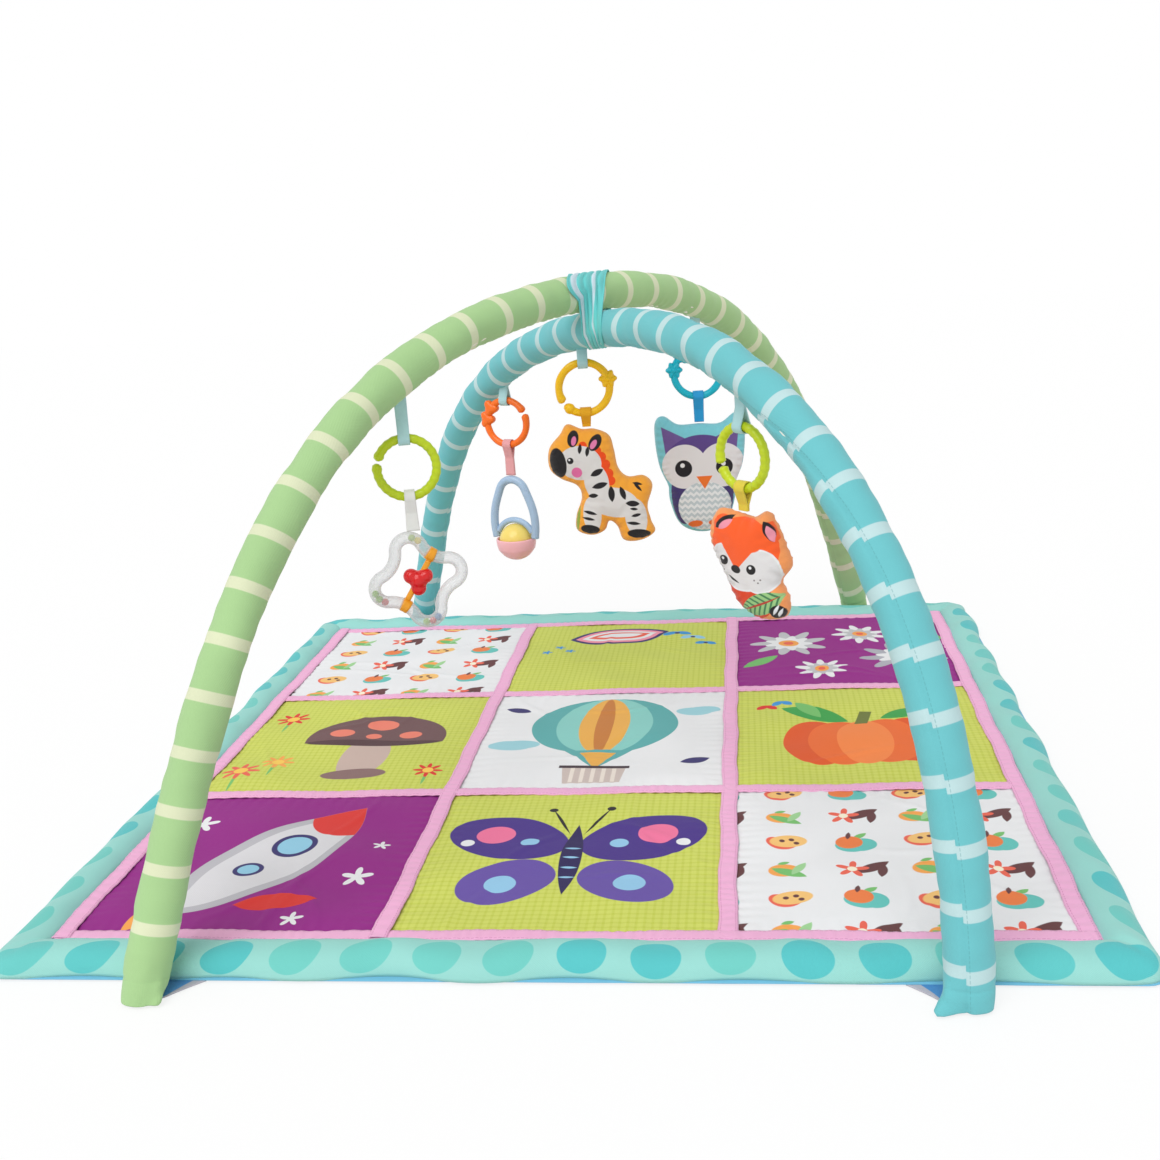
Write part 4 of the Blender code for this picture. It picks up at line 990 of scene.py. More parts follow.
# Ribbon strips: flat bands whose gathers are a sine wave along them with a drifting pitch.
def makeRibbons():
    reach, half = matSet["field"] - 0.001, matSet["ribbon"] / 2
    along = np.linspace(-reach, reach, 420)
    across = np.linspace(-1, 1, 9)
    s, w = np.meshgrid(along, across, indexing="ij")
    grids = []
    for lane, direction in [(lane, direction) for direction in (0, 1) for lane in (-1.5, -0.5, 0.5, 1.5)]:
        seed = int(lane * 2) + 7 * direction
        tucked = np.sign(lane) * (matSet["field"] - half + ribbonSet["tuck"])
        middle = lane * matSet["pitch"] if abs(lane) < 1 else tucked
        drift = 3.0 * np.sin(s * 41 + seed) + 1.3 * np.sin(s * 97 + w)
        gather = np.sin(turn * s / ribbonSet["pitch"] + drift)
        z = ribbonSet["height"] + ribbonSet["lap"] * direction
        z = z + ribbonSet["ruffle"] * gather * (1 - 0.35 * w * w)
        z = z + ribbonSet["crown"] * (1 - w ** 4) + 0.0005 * np.sin(s * 29 + seed)
        wide = w * half * (1 + 0.04 * np.sin(turn * s / 0.047 + seed))
        side = middle + wide + 0.0007 * np.sin(s * 53 + seed)
        x, y = (side, s) if direction else (s, side)
        points = np.stack([x, y, z], -1)
        points = points if direction == 0 else points[:, ::-1]
        grids.append({"points": points, "uv": np.stack([s, w * half], -1)})
    satin, thread = tint(243, 178, 216), tint(206, 128, 176)

    def draw(flow, spot):
        x, y = spot.parts()
        return (stitches(y, x, half * 0.72) * 0.8).mix(satin, thread)
    piece = surface("seamRibbons", grids, clothLook("ribbonCloth", draw, roughness=0.6), weld=False,
                    thickness=ribbonSet["thickness"])
    fit(piece, "gym", ["seam_ribbons"])


makeRibbons()
print("ribbons are made")

tabSet = {"wave": 0.0004, "thickness": 0.0011, "lean": 0.021, "taper": 0.22, "reach": 0.82, "area": 0.00090}


# Foot tab: a tongue of cloth sewn in the mat's edge beside the foot, which turns in under it. Its end
# is round.
def makeTab(node):
    low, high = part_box(node)
    away = 1 if low.y > 0 else -1
    u, v = np.meshgrid(np.linspace(0, 1, 26), np.linspace(-1, 1, 25), indexing="ij")
    inward = -1 if low.x > 0 else 1
    wide = (high.x - low.x) / 2 * (1 - tabSet["taper"] * u)
    wide = wide * np.sqrt(np.clip(1 - np.clip((u - 0.7) / 0.32, 0, 1) ** 2, 0.02, 1))
    x = (low.x + high.x) / 2 + inward * tabSet["lean"] * (1 - u) ** 1.4 + v * wide
    near = low.y if away > 0 else high.y
    y = near + away * u * (high.y - low.y) * tabSet["reach"]
    z = 0.0001 + tabSet["wave"] * (0.5 + 0.5 * np.sin(u * 7 + v * 2.5)) * u
    points = np.stack([x, y, z], -1)
    points = points if away > 0 else points[::-1]
    lining, deep = tint(188, 184, 196), tint(70, 140, 204)

    def draw(flow, spot):
        x, y = spot.parts()
        return (y - x * 0.6 - 0.50).inside(0.04).mix(lining, deep)
    name = pieceName(node)
    uv = np.stack([u if away > 0 else u[::-1], v * inward], -1)
    piece = surface(name, [{"points": points, "uv": uv}], clothLook(name + "Cloth", draw, pitch=0.05),
                    weld=False, thickness=tabSet["thickness"])
    fit(piece, "gym", [node])


for arch in ("green", "teal"):
    for end in ("a", "b"):
        makeTab("{}_foot_tab_{}".format(arch, end))
print("foot tabs are made")

# Link rings and straps

ringSet = {"radius": 0.0243, "wire": 0.0037, "gap": 0.0024, "ribs": (26, 0.05), "flowerRibs": (9, 0.03),
           "tipSwell": 0.13, "flower": 0.0080, "dome": 0.0048, "button": 0.0027, "buttonOut": 0.0036,
           "zebraKnob": 0.0052, "knobAngle": 232}
strapSet = {"bore": 0.0054, "gap": 0.0007, "thickness": 0.0010, "sewnIn": 0.0130, "loop": (0.0095, 0.0105)}
toySet = {
    "star": {"colour": tint(194, 214, 28), "gap": 165, "flowers": (), "hang": 0.029, "drop": 0.029,
             "slot": "lime_plastic", "strap": tint(244, 243, 240), "strapSlot": "clear_strap",
             "wide": (0.0085, 0.0110)},
    "rattle": {"colour": tint(255, 116, 28), "gap": 25, "flowers": (140, 172), "hang": 0.012, "drop": 0.034,
               "slot": "orange_plastic", "strap": tint(236, 168, 172), "strapSlot": "pink_strap",
               "wide": (0.0095, 0.0110)},
    "zebra": {"colour": tint(255, 198, 6), "gap": 215, "flowers": (18,), "hang": 0.012, "drop": 0.013,
              "slot": "yellow_plastic", "strap": tint(240, 172, 20), "strapSlot": "yellow_strap",
              "wide": (0.0110, 0.0080)},
    "owl": {"colour": tint(10, 184, 208), "gap": 20, "flowers": (130, 170), "hang": 0.030, "drop": 0.027,
            "slot": "blue_plastic", "strap": tint(40, 160, 222), "strapSlot": "blue_strap",
            "wide": (0.0110, 0.0100)},
    "fox": {"colour": tint(200, 216, 34), "gap": 200, "flowers": (), "hang": 0.022, "drop": 0.018,
            "slot": "lime_plastic", "strap": tint(232, 210, 70), "strapSlot": "citrus_strap",
            "wide": (0.0110, 0.0095)},
}
webbing = plainCloth("webbingCloth", tint(182, 222, 224), pitch=0.0012, roughness=0.75)


# Moulded flower: a domed disc whose rim and dome both swell at each petal.
def flowerGrid(centre, axes, size, petals, depth, dome):
    tilt = np.linspace(0, pi, 26)[:, None]
    angle = np.arange(48)[None] * turn / 48
    lobe = 1 + depth * np.cos(petals * angle)
    radius = size * lobe * np.sin(tilt) ** 0.75
    z = dome * np.sign(np.cos(tilt)) * np.abs(np.cos(tilt)) ** 0.8
    z = z + 0.0011 * np.sin(tilt) ** 2 * np.cos(petals * angle) * np.sign(np.cos(tilt))
    local = np.stack([radius * np.cos(angle), radius * np.sin(angle), z + 0 * angle], -1)
    local[[0, -1]] = local[[0, -1]].mean(1, keepdims=True)
    return {"points": placed(local, centre, axes), "wrapV": True}


# Ring: a round wire bent to a circle that stops short of itself at the snap; ribs run round the wire.
def makeRing(toy):
    values, axes = toySet[toy], hanging(toy)
    top = hinge("ring_swing_" + toy)
    hub = top - axes[1] * ringSet["radius"]
    half = ringSet["gap"] / ringSet["radius"] / 2
    angle = radians(values["gap"]) + np.linspace(half, turn - half, 190)
    path = placed(arc(ringSet["radius"], angle), hub, axes)
    share = np.linspace(0, 1, len(angle))
    tip = np.minimum(share, 1 - share) * turn * ringSet["radius"]
    ribs, rib = ringSet["flowerRibs" if values["flowers"] else "ribs"]
    size = ringSet["wire"] * (1 + rib * np.cos(ribs * angle))
    size = size * (1 + ringSet["tipSwell"] * np.exp(-((tip - 0.0040) / 0.0028) ** 2))
    size = size * np.sqrt(np.clip(tip / 0.0016, 0.15, 1))
    grids = [tubeGrid(path, size, 22, axes[2])]
    for spot in values["flowers"]:
        place = placed(handle(spot, ringSet["radius"]), hub, axes)
        plain = toy == "rattle"
        petals, depth = (3, 0.16) if plain else (6, 0.13)
        grids.append(flowerGrid(place, axes, ringSet["flower"], petals, depth, ringSet["dome"]))
        if not plain:
            out = axes[2] * ringSet["buttonOut"]
            grids += [ballGrid(spot, ringSet["button"], 12, 18) for spot in (place + out, place - out)]
    if toy == "zebra":
        place = placed(handle(ringSet["knobAngle"], ringSet["radius"]), hub, axes)
        grids.append(ballGrid(place, ringSet["zebraKnob"], 16, 22))
    piece = surface("linkRing" + toy.title(), grids, plasticLook(toy + "RingPlastic", values["colour"]))
    fit(piece, "ring_" + toy, ["link_ring_" + toy])


# Folded strap: a strip that runs down one face, round the ring's wire and back up the other face.
def strapGrid(centre, axes, tail, wide):
    across, up, front = axes
    bore, gap = strapSet["bore"], strapSet["gap"]
    sign = 1 if tail > 0 else -1
    reach = abs(tail)
    meet = min(reach * 0.75, 0.0125)
    straight = np.linspace(reach, meet, 14)[:-1]
    bend = np.linspace(radians(38), -pi - radians(38), 34)
    hook = arc(bore, bend)
    joined = np.linspace(0, 1, 8)[1:-1, None]
    side = np.stack([np.full_like(straight, gap), straight], 1)
    neck = side[-1] + (hook[0] - side[-1]) * smoothStep(joined)
    half = np.concatenate([side, neck])
    line = np.concatenate([half, hook, half[::-1] * [-1, 1]])
    run = np.concatenate([[0], np.cumsum(np.linalg.norm(np.diff(line, axis=0), axis=1))])
    w = np.linspace(-1, 1, 9)
    size = np.interp(line[:, 1], [-bore, reach], wide) / 2
    points = (np.asarray(centre) + (w[None] * size[:, None])[..., None] * across
              + line[:, 0, None, None] * front + sign * line[:, 1, None, None] * up)
    uv = np.stack(np.broadcast_arrays(run[:, None], w[None] * 0.0055), -1)
    return {"points": points if sign > 0 else points[:, ::-1], "uv": uv}


def makeStraps(toy):
    values, axes = toySet[toy], hanging(toy)
    top = hinge("ring_swing_" + toy)
    sewn = values["hang"] + strapSet["sewnIn"]  # the ends go into the sleeve's seam
    loop = surface("webbingLoop" + toy.title(), [strapGrid(top, axes, sewn, strapSet["loop"])], webbing,
                   weld=False, thickness=strapSet["thickness"], offset=0)
    fit(loop, "gym", ["webbing_loop_" + toy])
    low = hinge("toy_swing_" + toy)
    cloth = plainCloth(toy + "StrapCloth", values["strap"], pitch=0.0012, roughness=0.7)
    strap = surface("toyStrap" + toy.title(), [strapGrid(low, axes, -values["drop"], values["wide"])], cloth,
                    weld=False, thickness=strapSet["thickness"], offset=0)
    fit(strap, "toy_" + toy, ["toy_strap_" + toy])


for toy in toySet:
    makeRing(toy)
    makeStraps(toy)
print("link rings and straps are made")

# Plush animals; their outlines and prints are in millimetres from the strap

plushSet = {"half": 0.0112, "edge": 0.0125, "spacing": 0.0019, "pressure": 3.2, "frames": 16, "cap": 0.0026,
            "pucker": 0.20, "puckerPitch": 0.0072, "puckerFade": 0.0045}
plushOutlines = {
    "zebra": ((-5, 0), (8, -1), (21, -8), (25, -22), (29, -40), (38, -50), (53, -50), (61, -60), (56, -80),
              (58, -95), (61, -107), (47, -115), (30, -114), (24, -100), (16, -94), (11, -103), (-2, -107),
              (-16, -101), (-16, -86), (-10, -68), (-14, -56), (-29, -48), (-39, -37), (-38, -18), (-27, -5),
              (-19, 5)),
    "owl": ((0, 0), (22, 0), (38, 9), (47, 3), (48, -18), (45, -44), (38, -66), (35, -84), (26, -107),
            (10, -117), (-10, -117), (-26, -107), (-35, -84), (-38, -66), (-45, -44), (-48, -18), (-47, 3),
            (-38, 9), (-22, 0)),
    "fox": ((-3, 0), (9, -2), (21, 2), (29, -10), (36, -27), (40, -40), (32, -54), (37, -68), (35, -81),
            (22, -86), (7, -84), (-8, -72), (-17, -52), (-27, -30), (-29, -13), (-21, 2)),
}
plushTwist = {"zebra": 0.0, "owl": 0.0, "fox": radians(20)}


def drawZebra(art):
    body, ink = tint(228, 224, 222), tint(30, 27, 30)
    mane = tint(248, 78, 16)
    art.oval((-16, -84), (4, 22), tint(150, 170, 40), -6)
    for x, y, r in ((8, -21, 4.5), (12, -27, 5), (15.5, -35, 5.2), (18, -44, 5.2), (20, -51, 4.6),
                    (-5, -15, 4)):
        art.disc((x, y), r, mane)
    art.oval((-9, -32), (21, 17), body, -6)
    art.oval((6, -52), (12, 19), body, 8)
    art.oval((22, -73), (24, 15), body, -12)
    art.oval((0, -84), (9, 18), body)
    art.oval((43, -89), (11, 19), body, 6)
    art.oval((-30, -31), (8, 15), ink, 6)
    art.disc((-18, -29), 3.2, ink)
    art.disc((-18.8, -28), 1.0, white)
    art.disc((-12.5, -41), 5.2, tint(232, 110, 166))
    art.oval((-14, -8), (5.4, 8), ink, -14)
    art.oval((-13.4, -10), (2.4, 4.6), tint(238, 130, 180), -14)
    art.oval((7, -13), (5.6, 8.6), ink, -34)
    art.oval((5.4, -14.5), (2.6, 5), tint(238, 130, 180), -34)
    stripes = ((-8, -18, 5, 1.9, 80), (-1, -21, 5, 1.9, 80), (7, -42, 7, 3.0, 24), (9, -55, 8, 3.0, 14),
               (2, -65, 5, 2.2, 4), (20, -64, 8, 3.2, 92), (31, -64, 7, 2.7, 108), (40, -75, 7, 3.0, 172),
               (41, -80.5, 4, 1.4, 172), (-2, -82, 7, 1.7, -16), (-4, -88, 6.5, 1.5, -14),
               (43, -87, 5, 1.7, 8), (40, -95, 7, 1.7, -8), (46, -59, 6, 1.5, -50), (46, -56, 5, 1.3, -12))
    for x, y, length, width, angle in stripes:
        art.leaf((x, y), length, width, ink, angle)
    art.oval((-3, -99), (9.4, 4.8), ink, -12)
    art.oval((45, -106), (11.5, 4.8), ink, -6)


def drawOwl(art):
    coat, wing, ink = tint(92, 68, 138), tint(66, 52, 112), tint(26, 22, 28)
    face = tint(232, 228, 230)
    art.sides([(-41, -1), (-37, -34), (-16, -14)], tint(112, 86, 152))
    art.sides([(41, -1), (16, -14), (37, -34)], tint(112, 86, 152))
    art.oval((0, -42), (39, 31), coat)
    art.oval((0, -76), (31, 33), coat)
    for x, lean in ((-24, 8), (24, -8)):
        art.oval((x, -82), (9, 26), wing, lean)
    for x, lean in ((-18, 14), (22, -14)):
        art.oval((x, -44), (24, 23.5), face, lean)
    belly = art.ovalMask((2, -88), (28.5, 27))
    x, y = art.local((0, 0)).parts()
    zig = (y + x.calc("PINGPONG", 3.2) * 0.9).calc("PINGPONG", 3.3) - 1.6
    art.paint(belly, tint(198, 208, 214))
    art.paint(belly * zig.inside(0.5), tint(236, 238, 240))
    for x in (-19, 24):
        art.disc((x, -46), 9.0, ink)
        art.disc((x - 1, -42.6), 2.4, white)
    art.sides([(-6, -55), (2.5, -69), (11, -55)], tint(244, 118, 40))
    for x, lean in ((-9, 6), (13, -6)):
        art.oval((x, -107), (8, 3.8), tint(240, 112, 40), lean)


def drawFox(art):
    coat, deep, ink = tint(255, 96, 36), tint(226, 66, 26), tint(30, 26, 28)
    face, blush = tint(228, 224, 224), tint(240, 150, 170)
    art.oval((5, -68), (23, 18), deep)
    art.oval((4, -27), (29, 25), coat, -12)
    art.oval((-13, -11), (9, 11), coat, 20)
    art.oval((23, -15), (9, 11), coat, -40)
    art.oval((-15, -40), (13, 17), white, -8)
    art.oval((17, -44), (18, 18), white, -8)
    art.oval((0, -51), (17, 10), white, -10)
    art.oval((-15, -40), (11.6, 15.6), face, -8)
    art.oval((17, -44), (16.6, 16.6), face, -8)
    art.oval((0, -50), (15, 9.5), face, -10)
    art.sides([(-3.3, -45), (17, -23), (-19, -16)], coat)
    art.oval((-1, -20), (20, 8), coat, -14)
    art.oval((-3.3, -43.6), (4.3, 3.3), ink, -14)
    for x, y in ((-14, -37), (10.5, -42.6)):
        art.disc((x, y), 4.0, ink)
        art.disc((x - 0.7, y + 1.4), 1.2, white)
    art.leaf((-6, -52), 6, 0.9, ink, -30)
    for x, y in ((13, -51), (16, -53), (18, -50.5), (-18, -43.5), (-15, -45.5)):
        art.disc((x, y), 0.7, tint(130, 122, 122))
    for x, y, angle in ((-13, -6, 34), (24.5, -12, -62)):
        art.leaf((x, y), 9, 3.8, ink, angle)
        art.leaf((x + 1.2, y - 1.8), 7, 2.8, blush, angle)
    tail = art.leafMask((17, -71), 20, 9, 23)
    x, y = art.local((17, -71), 23).parts()
    stripes = ((x + y.calc("ABSOLUTE") * 0.8).calc("PINGPONG", 2.6) - 1.0).inside(0.5)
    art.paint(tail, tint(156, 202, 132))
    art.paint(tail * stripes, tint(70, 128, 84))
    art.leaf((16, -71), 19, 0.9, tint(190, 60, 50), 23)
    art.oval((30, -77), (6, 6), ink, 20)
    art.leaf((29, -75), 5, 1.3, white, 60)
    art.leaf((32, -77.5), 4.5, 1.2, white, 60)


plushPlan = {"zebra": (drawZebra, tint(255, 172, 54)), "owl": (drawOwl, tint(126, 206, 218)),
             "fox": (drawFox, tint(252, 158, 92))}


def plushCloth(toy):
    picture, rim = plushPlan[toy]

    def draw(flow, spot):
        art = Print(flow, spot, rim, soft=0.45)
        picture(art)
        room = flow.make("ShaderNodeAttribute", {"attribute_name": "face"}, None, 2)
        return room.calc("MULTIPLY_ADD", 6.0, -0.6, clamp=True).mix(rim, art.colour)
    return clothLook(toy + "PlushCloth", draw, pitch=0.0011, roughness=0.85, strength=0.5, sheen=0.3)


# Distance from each point to the outline, positive within it.
def depthIn(points, line):
    start, end = line, np.roll(line, -1, 0)
    run = end - start
    share = np.clip(((points[:, None] - start) * run).sum(-1) / (run ** 2).sum(-1), 0, 1)
    gap = np.linalg.norm(points[:, None] - start - share[..., None] * run, axis=-1).min(1)
    crosses = (start[:, 1] > points[:, None, 1]) != (end[:, 1] > points[:, None, 1])
    rise = np.where(run[:, 1] == 0, 1e-12, run[:, 1])
    at = start[:, 0] + (points[:, None, 1] - start[:, 1]) * run[:, 0] / rise
    inner = (crosses & (points[:, None, 0] < at)).sum(1) % 2 == 1
    return np.where(inner, gap, -gap)


# Stuffed toy: two faces sewn at the outline, each as high as a quarter round near its rim and flat beyond.
def makePlush(toy):
    axes = hanging(toy, plushTwist[toy])
    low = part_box(toy + "_plush")[0]
    corners = roundLine(plushOutlines[toy], 12) / 1000
    line = evenly(np.concatenate([corners, corners[:1]]), 230)[0][:-1]
    origin = hinge("toy_swing_" + toy)
    origin[2] = low.z - line[:, 1].min()
    step = plushSet["spacing"]
    gx, gy = np.meshgrid(np.arange(line[:, 0].min(), line[:, 0].max(), step),
                         np.arange(line[:, 1].min(), line[:, 1].max(), step * 0.866), indexing="ij")
    gx = gx + (np.arange(gx.shape[1])[None] % 2) * step / 2
    inner = np.stack([gx.ravel(), gy.ravel()], 1)
    inner = inner[depthIn(inner, line) > step * 0.6]
    flat = np.concatenate([line, inner])
    rim = len(line)
    edges = [(i, (i + 1) % rim) for i in range(rim)]
    triangles = delaunay_2d_cdt([Vector(point) for point in flat], edges, [], 1, 1e-7)
    flat = np.array([tuple(point) for point in triangles[0]])
    faces = np.array([tuple(face) for face in triangles[2]])
    depth = np.concatenate([np.zeros(rim), np.clip(depthIn(flat[rim:], line), 0, None)])
    height = plushSet["half"] * np.sqrt(1 - (1 - np.clip(depth / plushSet["edge"], 0, 1)) ** 2)
    beside = np.linalg.norm(flat[:, None] - line, axis=-1).argmin(1) * np.linalg.norm(line[1] - line[0])
    pucker = np.sin(turn * beside / plushSet["puckerPitch"] + 1.7 * np.sin(beside * 90))
    height = height * (1 + plushSet["pucker"] * pucker * np.exp(-depth / plushSet["puckerFade"]))
    total = len(flat)
    back = np.concatenate([np.arange(rim), np.arange(total, 2 * total - rim)])
    local = np.concatenate([np.column_stack([flat, height]), np.column_stack([flat[rim:], -height[rim:]])])
    mesh = bpy.data.meshes.new(toy + "Plush")
    mesh.from_pydata(placed(local, origin, axes).tolist(), [],
                     np.concatenate([faces, back[faces][:, ::-1]]).tolist())
    corner = np.empty(len(mesh.loops), int)
    mesh.loops.foreach_get("vertex_index", corner)
    mesh.uv_layers.new(name="cloth").data.foreach_set("uv", local[corner, :2].reshape(-1).astype(np.float32))
    side = mesh.attributes.new("face", "FLOAT", "POINT")
    side.data.foreach_set("value", np.clip(local[:, 2] / plushSet["half"], -1, 1).astype(np.float32))
    mesh.materials.append(plushCloth(toy))
    work = bmesh.new()
    work.from_mesh(mesh)
    bmesh.ops.recalc_face_normals(work, faces=work.faces)
    work.to_mesh(mesh)
    work.free()
    mesh.polygons.foreach_set("use_smooth", np.full(len(mesh.polygons), True))
    piece = bpy.data.objects.new(toy + "Plush", mesh)
    scene.collection.objects.link(piece)
    stuff(piece)
    fit(piece, "toy_" + toy, [toy + "_plush"])


# Stuffing: pressure inside the sewn cloth swells it for a few frames, and no point may move past the cap.
def stuff(piece):
    mesh = piece.data
    before = np.empty(len(mesh.vertices) * 3)
    mesh.vertices.foreach_get("co", before)
    before = before.reshape(-1, 3)
    cloth = piece.modifiers.new("stuffing", "CLOTH")
    cloth.settings.use_pressure = True
    cloth.settings.uniform_pressure_force = plushSet["pressure"]
    cloth.settings.effector_weights.gravity = 0
    cloth.settings.quality = 4
    cloth.point_cache.frame_start = 1
    cloth.point_cache.frame_end = plushSet["frames"]
    for number in range(1, plushSet["frames"] + 1):
        scene.frame_set(number)
    shown = piece.evaluated_get(bpy.context.evaluated_depsgraph_get()).data
    after = np.empty(len(before) * 3)
    shown.vertices.foreach_get("co", after)
    move = after.reshape(-1, 3) - before
    size = np.linalg.norm(move, axis=1, keepdims=True)
    move = move * np.minimum(1, plushSet["cap"] / np.maximum(size, 1e-9))
    piece.modifiers.remove(cloth)
    mesh.vertices.foreach_set("co", (before + move).reshape(-1))
    mesh.update()
    scene.frame_set(1)


for toy in plushOutlines:
    makePlush(toy)
print("plush animals are made")

# Clear tube rattle

starSet = {"lobe": 0.0115, "reach": 0.0260, "waist": 0.0246, "tube": 0.0052, "wall": 0.0008,
           "turn": radians(12), "axle": 0.0025, "bead": 0.0031, "beadPitch": 0.0054, "clear": 0.34}


def clearLook():
    material, flow, shader = startMaterial("clearTube", 0.12, Coat_Weight=0.4, Coat_Roughness=0.08)
    link(flow.noise(40.0).mix(tint(230, 232, 234), tint(240, 240, 242)), shader, "Base Color")
    rim = flow.make("ShaderNodeLayerWeight", None, {"Blend": 0.35}, 1)
    link(rim * 0.55 + starSet["clear"] * 0.62, shader, "Alpha")
    return material


# Lobed path: round lobes at the four ends of a cross, joined by hollow waists that touch them smoothly.
def starLine():
    reach, lobe, waist = starSet["reach"], starSet["lobe"], starSet["waist"]
    bend = lobe ** 2 - reach ** 2 + sqrt(2) * reach * waist - waist ** 2
    bend /= 2 * waist - 2 * lobe - sqrt(2) * reach
    corner = (waist + bend) / sqrt(2)
    tilt, fold = atan2(corner, corner - reach), atan2(corner - reach, corner)
    outer = np.linspace(-tilt, tilt, 30)
    inner = np.linspace(-pi / 2 - fold, -pi + fold, 16)[1:-1]
    quarter = np.concatenate([arc(lobe, outer, (reach, 0)), arc(bend, inner, (corner, corner))])
    rows = []
    for number in range(4):
        angle = number * pi / 2 + starSet["turn"]
        rows.append(quarter @ np.array([[cos(angle), sin(angle)], [-sin(angle), cos(angle)]]))
    return np.concatenate(rows)


def makeStar():
    axes = hanging("star")
    centre = hinge("spinner_turn")
    flat = starLine()
    path = placed(flat, centre, axes)
    ahead = unit(np.roll(path, -1, 0) - np.roll(path, 1, 0))
    beside = np.cross(ahead, axes[2])
    look = clearLook()
    for node, start in (("star_shell_front", 0.0), ("star_shell_rear", pi)):
        angle = start + np.linspace(0.03, pi - 0.03, 13)
        points = path[:, None] + starSet["tube"] * circle(angle[None], beside[:, None], axes[2])
        piece = surface(pieceName(node), [{"points": points, "wrapU": True}], look, weld=False,
                        thickness=starSet["wall"])
        fit(piece, "toy_star", [node])
    lean = starSet["turn"] + pi / 4
    along = cos(lean) * axes[0] + sin(lean) * axes[1]
    half = starSet["waist"] - starSet["tube"] + 0.0008
    grids = [tubeGrid(centre + np.linspace(-half, half, 12)[:, None] * along, starSet["axle"], 18, axes[2])]
    for sign in (-1, 1):
        middle = np.argmin(np.linalg.norm(path - centre - sign * along * starSet["waist"], axis=1))
        span = np.arange(middle - 2, middle + 3) % len(path)
        grids.append(tubeGrid(path[span], starSet["tube"] + 0.0006, 24, axes[2]))
    piece = surface("starAxle", grids, plasticLook("amberPlastic", tint(250, 168, 40)))
    fit(piece, "toy_star", ["star_axle"])
    makeSpinner(axes, centre, lean)
    makeBeads(axes, centre)


spinnerSet = {"core": 0.0080, "knob": 0.0064, "out": 0.0070, "blend": 0.0006}


# Spinner: in every direction as far out as its core or the furthest of its three knobs, softly joined.
def makeSpinner(axes, centre, lean):
    tilt = np.linspace(0, pi, 44)[:, None]
    spin = np.arange(64)[None] * turn / 64
    way = np.stack([np.sin(tilt) * np.cos(spin), np.sin(tilt) * np.sin(spin), np.cos(tilt) + 0 * spin], -1)
    core, knob, out, blend = spinnerSet.values()
    total = np.exp(np.full(spin.shape, core) / blend) + 0 * tilt
    for number in range(3):
        angle = lean + pi / 2 + number * turn / 3
        share = way[..., :2] @ toward(angle)
        inner = knob ** 2 - out ** 2 + (out * share) ** 2
        far = np.where((inner > 0) & (share > 0), out * share + np.sqrt(np.clip(inner, 0, None)), 0)
        total = total + np.exp(far / blend)
    local = way * (blend * np.log(total))[..., None]
    local[[0, -1]] = local[[0, -1]].mean(1, keepdims=True)
    piece = surface("starSpinner", [{"points": placed(local, centre, axes), "wrapV": True}],
                    plasticLook("redPlastic", tint(226, 22, 26), roughness=0.18, coat=0.25, peel=0.02))
    fit(piece, "spinner", ["star_spinner"])


beadSet = {
    "beads_left": (2, 0.55, "bead_green", (tint(150, 200, 60), tint(150, 200, 60), tint(222, 70, 66))),
    "beads_bottom": (3, 0.1, "bead_red", (tint(160, 204, 70), tint(214, 50, 46), tint(60, 130, 190))),
    "beads_top": (1, -0.75, "bead_yellow", (tint(236, 216, 70), tint(176, 206, 90))),
}


# Loose beads: small balls one behind the other on the outer wall of a lobe.
def makeBeads(axes, centre):
    track = starSet["lobe"] + (starSet["tube"] - 0.0010) * cos(pi / 8) - starSet["bead"] - 0.0006
    for node, (quarter, lean, slotName, colours) in beadSet.items():
        facing = quarter * pi / 2 + starSet["turn"]
        hub = placed(toward(facing) * starSet["reach"], centre, axes)
        for number, colour in enumerate(colours):
            angle = facing + lean + (number - (len(colours) - 1) / 2) * starSet["beadPitch"] / starSet["lobe"]
            place = placed(toward(angle) * track, hub, axes)
            name = pieceName(node) + str(number)
            look = plasticLook(name + "Plastic", colour)
            piece = surface(name, [ballGrid(place, starSet["bead"], 14, 20)], look)
            fit(piece, node, [node] if number == 0 else [])


makeStar()
print("tube rattle is made")

# Ball rattle

rattleSet = {"handle": 0.070, "tube": 0.0045, "top": 0.017, "ball": 0.0188, "cup": 0.0222, "wall": 0.0022,
             "lip": 0.0030, "roll": 0.0011, "bar": 0.0033, "gap": 0.0003, "clear": 0.0009, "bulge": 0.0022,
             "ridge": 0.0005}


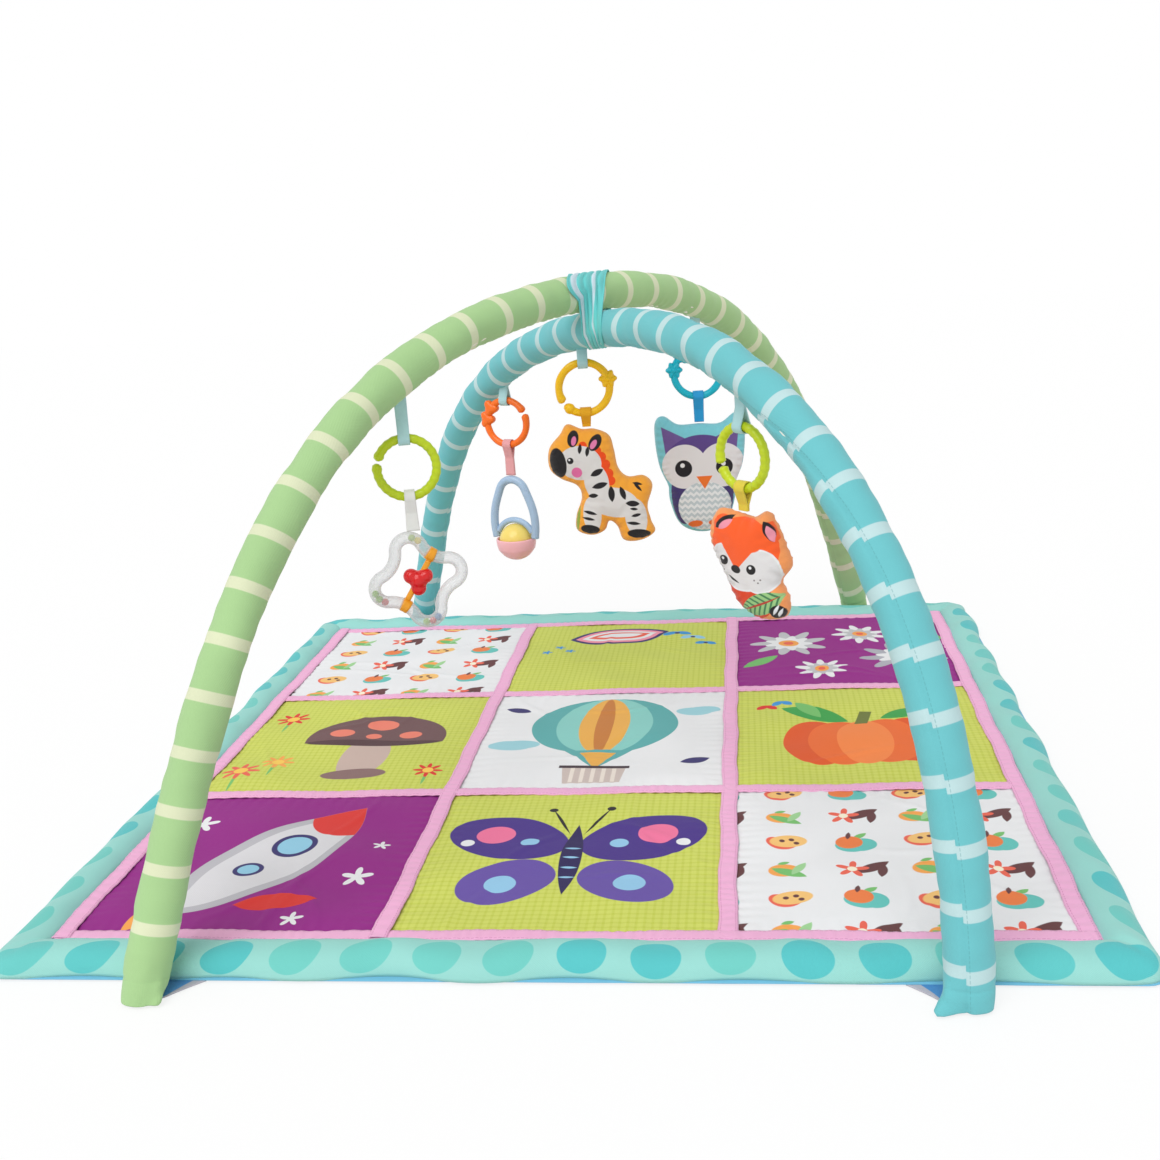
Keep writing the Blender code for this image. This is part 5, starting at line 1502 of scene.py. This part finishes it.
def makeRattle():
    axes = hanging("rattle")
    top = hinge("toy_swing_rattle") - axes[1] * (toySet["rattle"]["drop"] + rattleSet["gap"])
    leg = rattleSet["ball"] + rattleSet["tube"] + rattleSet["clear"]
    foot = -rattleSet["handle"]
    centre = foot - rattleSet["lip"] - rattleSet["gap"]
    crest = np.linspace(radians(15), radians(165), 9)
    start = -rattleSet["top"] - rattleSet["tube"]
    bow = arc(rattleSet["top"], crest, (0, start))
    right = np.array([[leg, foot], [leg + rattleSet["bulge"], foot * 0.78], [leg, foot * 0.52]])
    corners = np.concatenate([right, bow, right[::-1] * [-1, 1]])
    knots = np.linspace(0, 1, len(corners))
    fine = np.linspace(0, 1, 160)
    smooth = np.stack([np.interp(fine, knots, corners[:, k]) for k in (0, 1)], 1)
    for _ in range(30):
        smooth[1:-1] = (smooth[:-2] + 2 * smooth[1:-1] + smooth[2:]) / 4
    line = placed(smooth, top, axes)
    bend = np.linspace(radians(24), radians(156), 50)
    radius = rattleSet["ball"] + rattleSet["bar"] + rattleSet["clear"]
    bar = placed(arc(radius, bend, (0, centre)), top, axes)
    grids = [tubeGrid(line, rattleSet["tube"], 22, axes[2]), tubeGrid(bar, rattleSet["bar"], 18, axes[2])]
    piece = surface("rattleHandle", grids, plasticLook("handlePlastic", tint(168, 194, 222)))
    fit(piece, "toy_rattle", ["rattle_handle"])
    hub = placed(np.array([0, centre]), top, axes)
    ball = surface("rattleBall", [ballGrid(hub, rattleSet["ball"], 30, 44)],
                   plasticLook("ballPlastic", tint(246, 220, 116), roughness=0.2))
    fit(ball, "rattle_ball", ["rattle_ball"])
    makeCup(hub, axes)


# Cup: a half round bowl with a rolled lip; a slight ridge runs across it like a fold.
def makeCup(hub, axes):
    outer, inner, lip = rattleSet["cup"], rattleSet["cup"] - rattleSet["wall"], rattleSet["lip"]
    down = np.linspace(0, pi / 2, 22)
    outside = arc(outer, -down)
    inside = arc(inner, -down)[::-1]
    roll = np.linspace(0, pi, 8)
    middle = (outer + inner) / 2
    tall = rattleSet["roll"]
    rim = np.stack([middle - (outer - inner) / 2 * np.cos(roll), lip - tall + tall * np.sin(roll)], 1)
    outside[-1, 0] = inside[0, 0] = 0
    ridge = np.exp(-((outside[:, 1] + outer * 0.42) / 0.0016) ** 2) * rattleSet["ridge"]
    outside[:, 0] += ridge
    profile = np.concatenate([rim, outside, inside, rim[:1]])
    piece = surface("rattleCup", [turnedGrid(profile, 48, hub, axes)],
                    plasticLook("cupPlastic", tint(252, 190, 198)))
    fit(piece, "toy_rattle", ["rattle_cup"])


makeRattle()
print("ball rattle is made")

# What stays hidden inside: foam, rods, plugs and wadding

innerLooks = {"foam": plasticLook("foamSkin", tint(242, 238, 226), 0.95, 0.0, 0.6),
              "rod": plasticLook("rodPlastic", tint(228, 228, 222)),
              "plug": plasticLook("plugPlastic", tint(206, 210, 214)),
              "wadding": plasticLook("waddingFibre", tint(246, 246, 244), 0.95, 0.0, 0.8)}
for node, piece in frame["nodes"].items():
    kind = next((kind for kind in ("foam", "rod", "plug", "wadding", "ferrule") if kind in node), None)
    if kind and not piece.hide_render:
        piece.data.materials.clear()
        piece.data.materials.append(innerLooks["plug" if kind == "ferrule" else kind])
print("inner pieces have their finish")
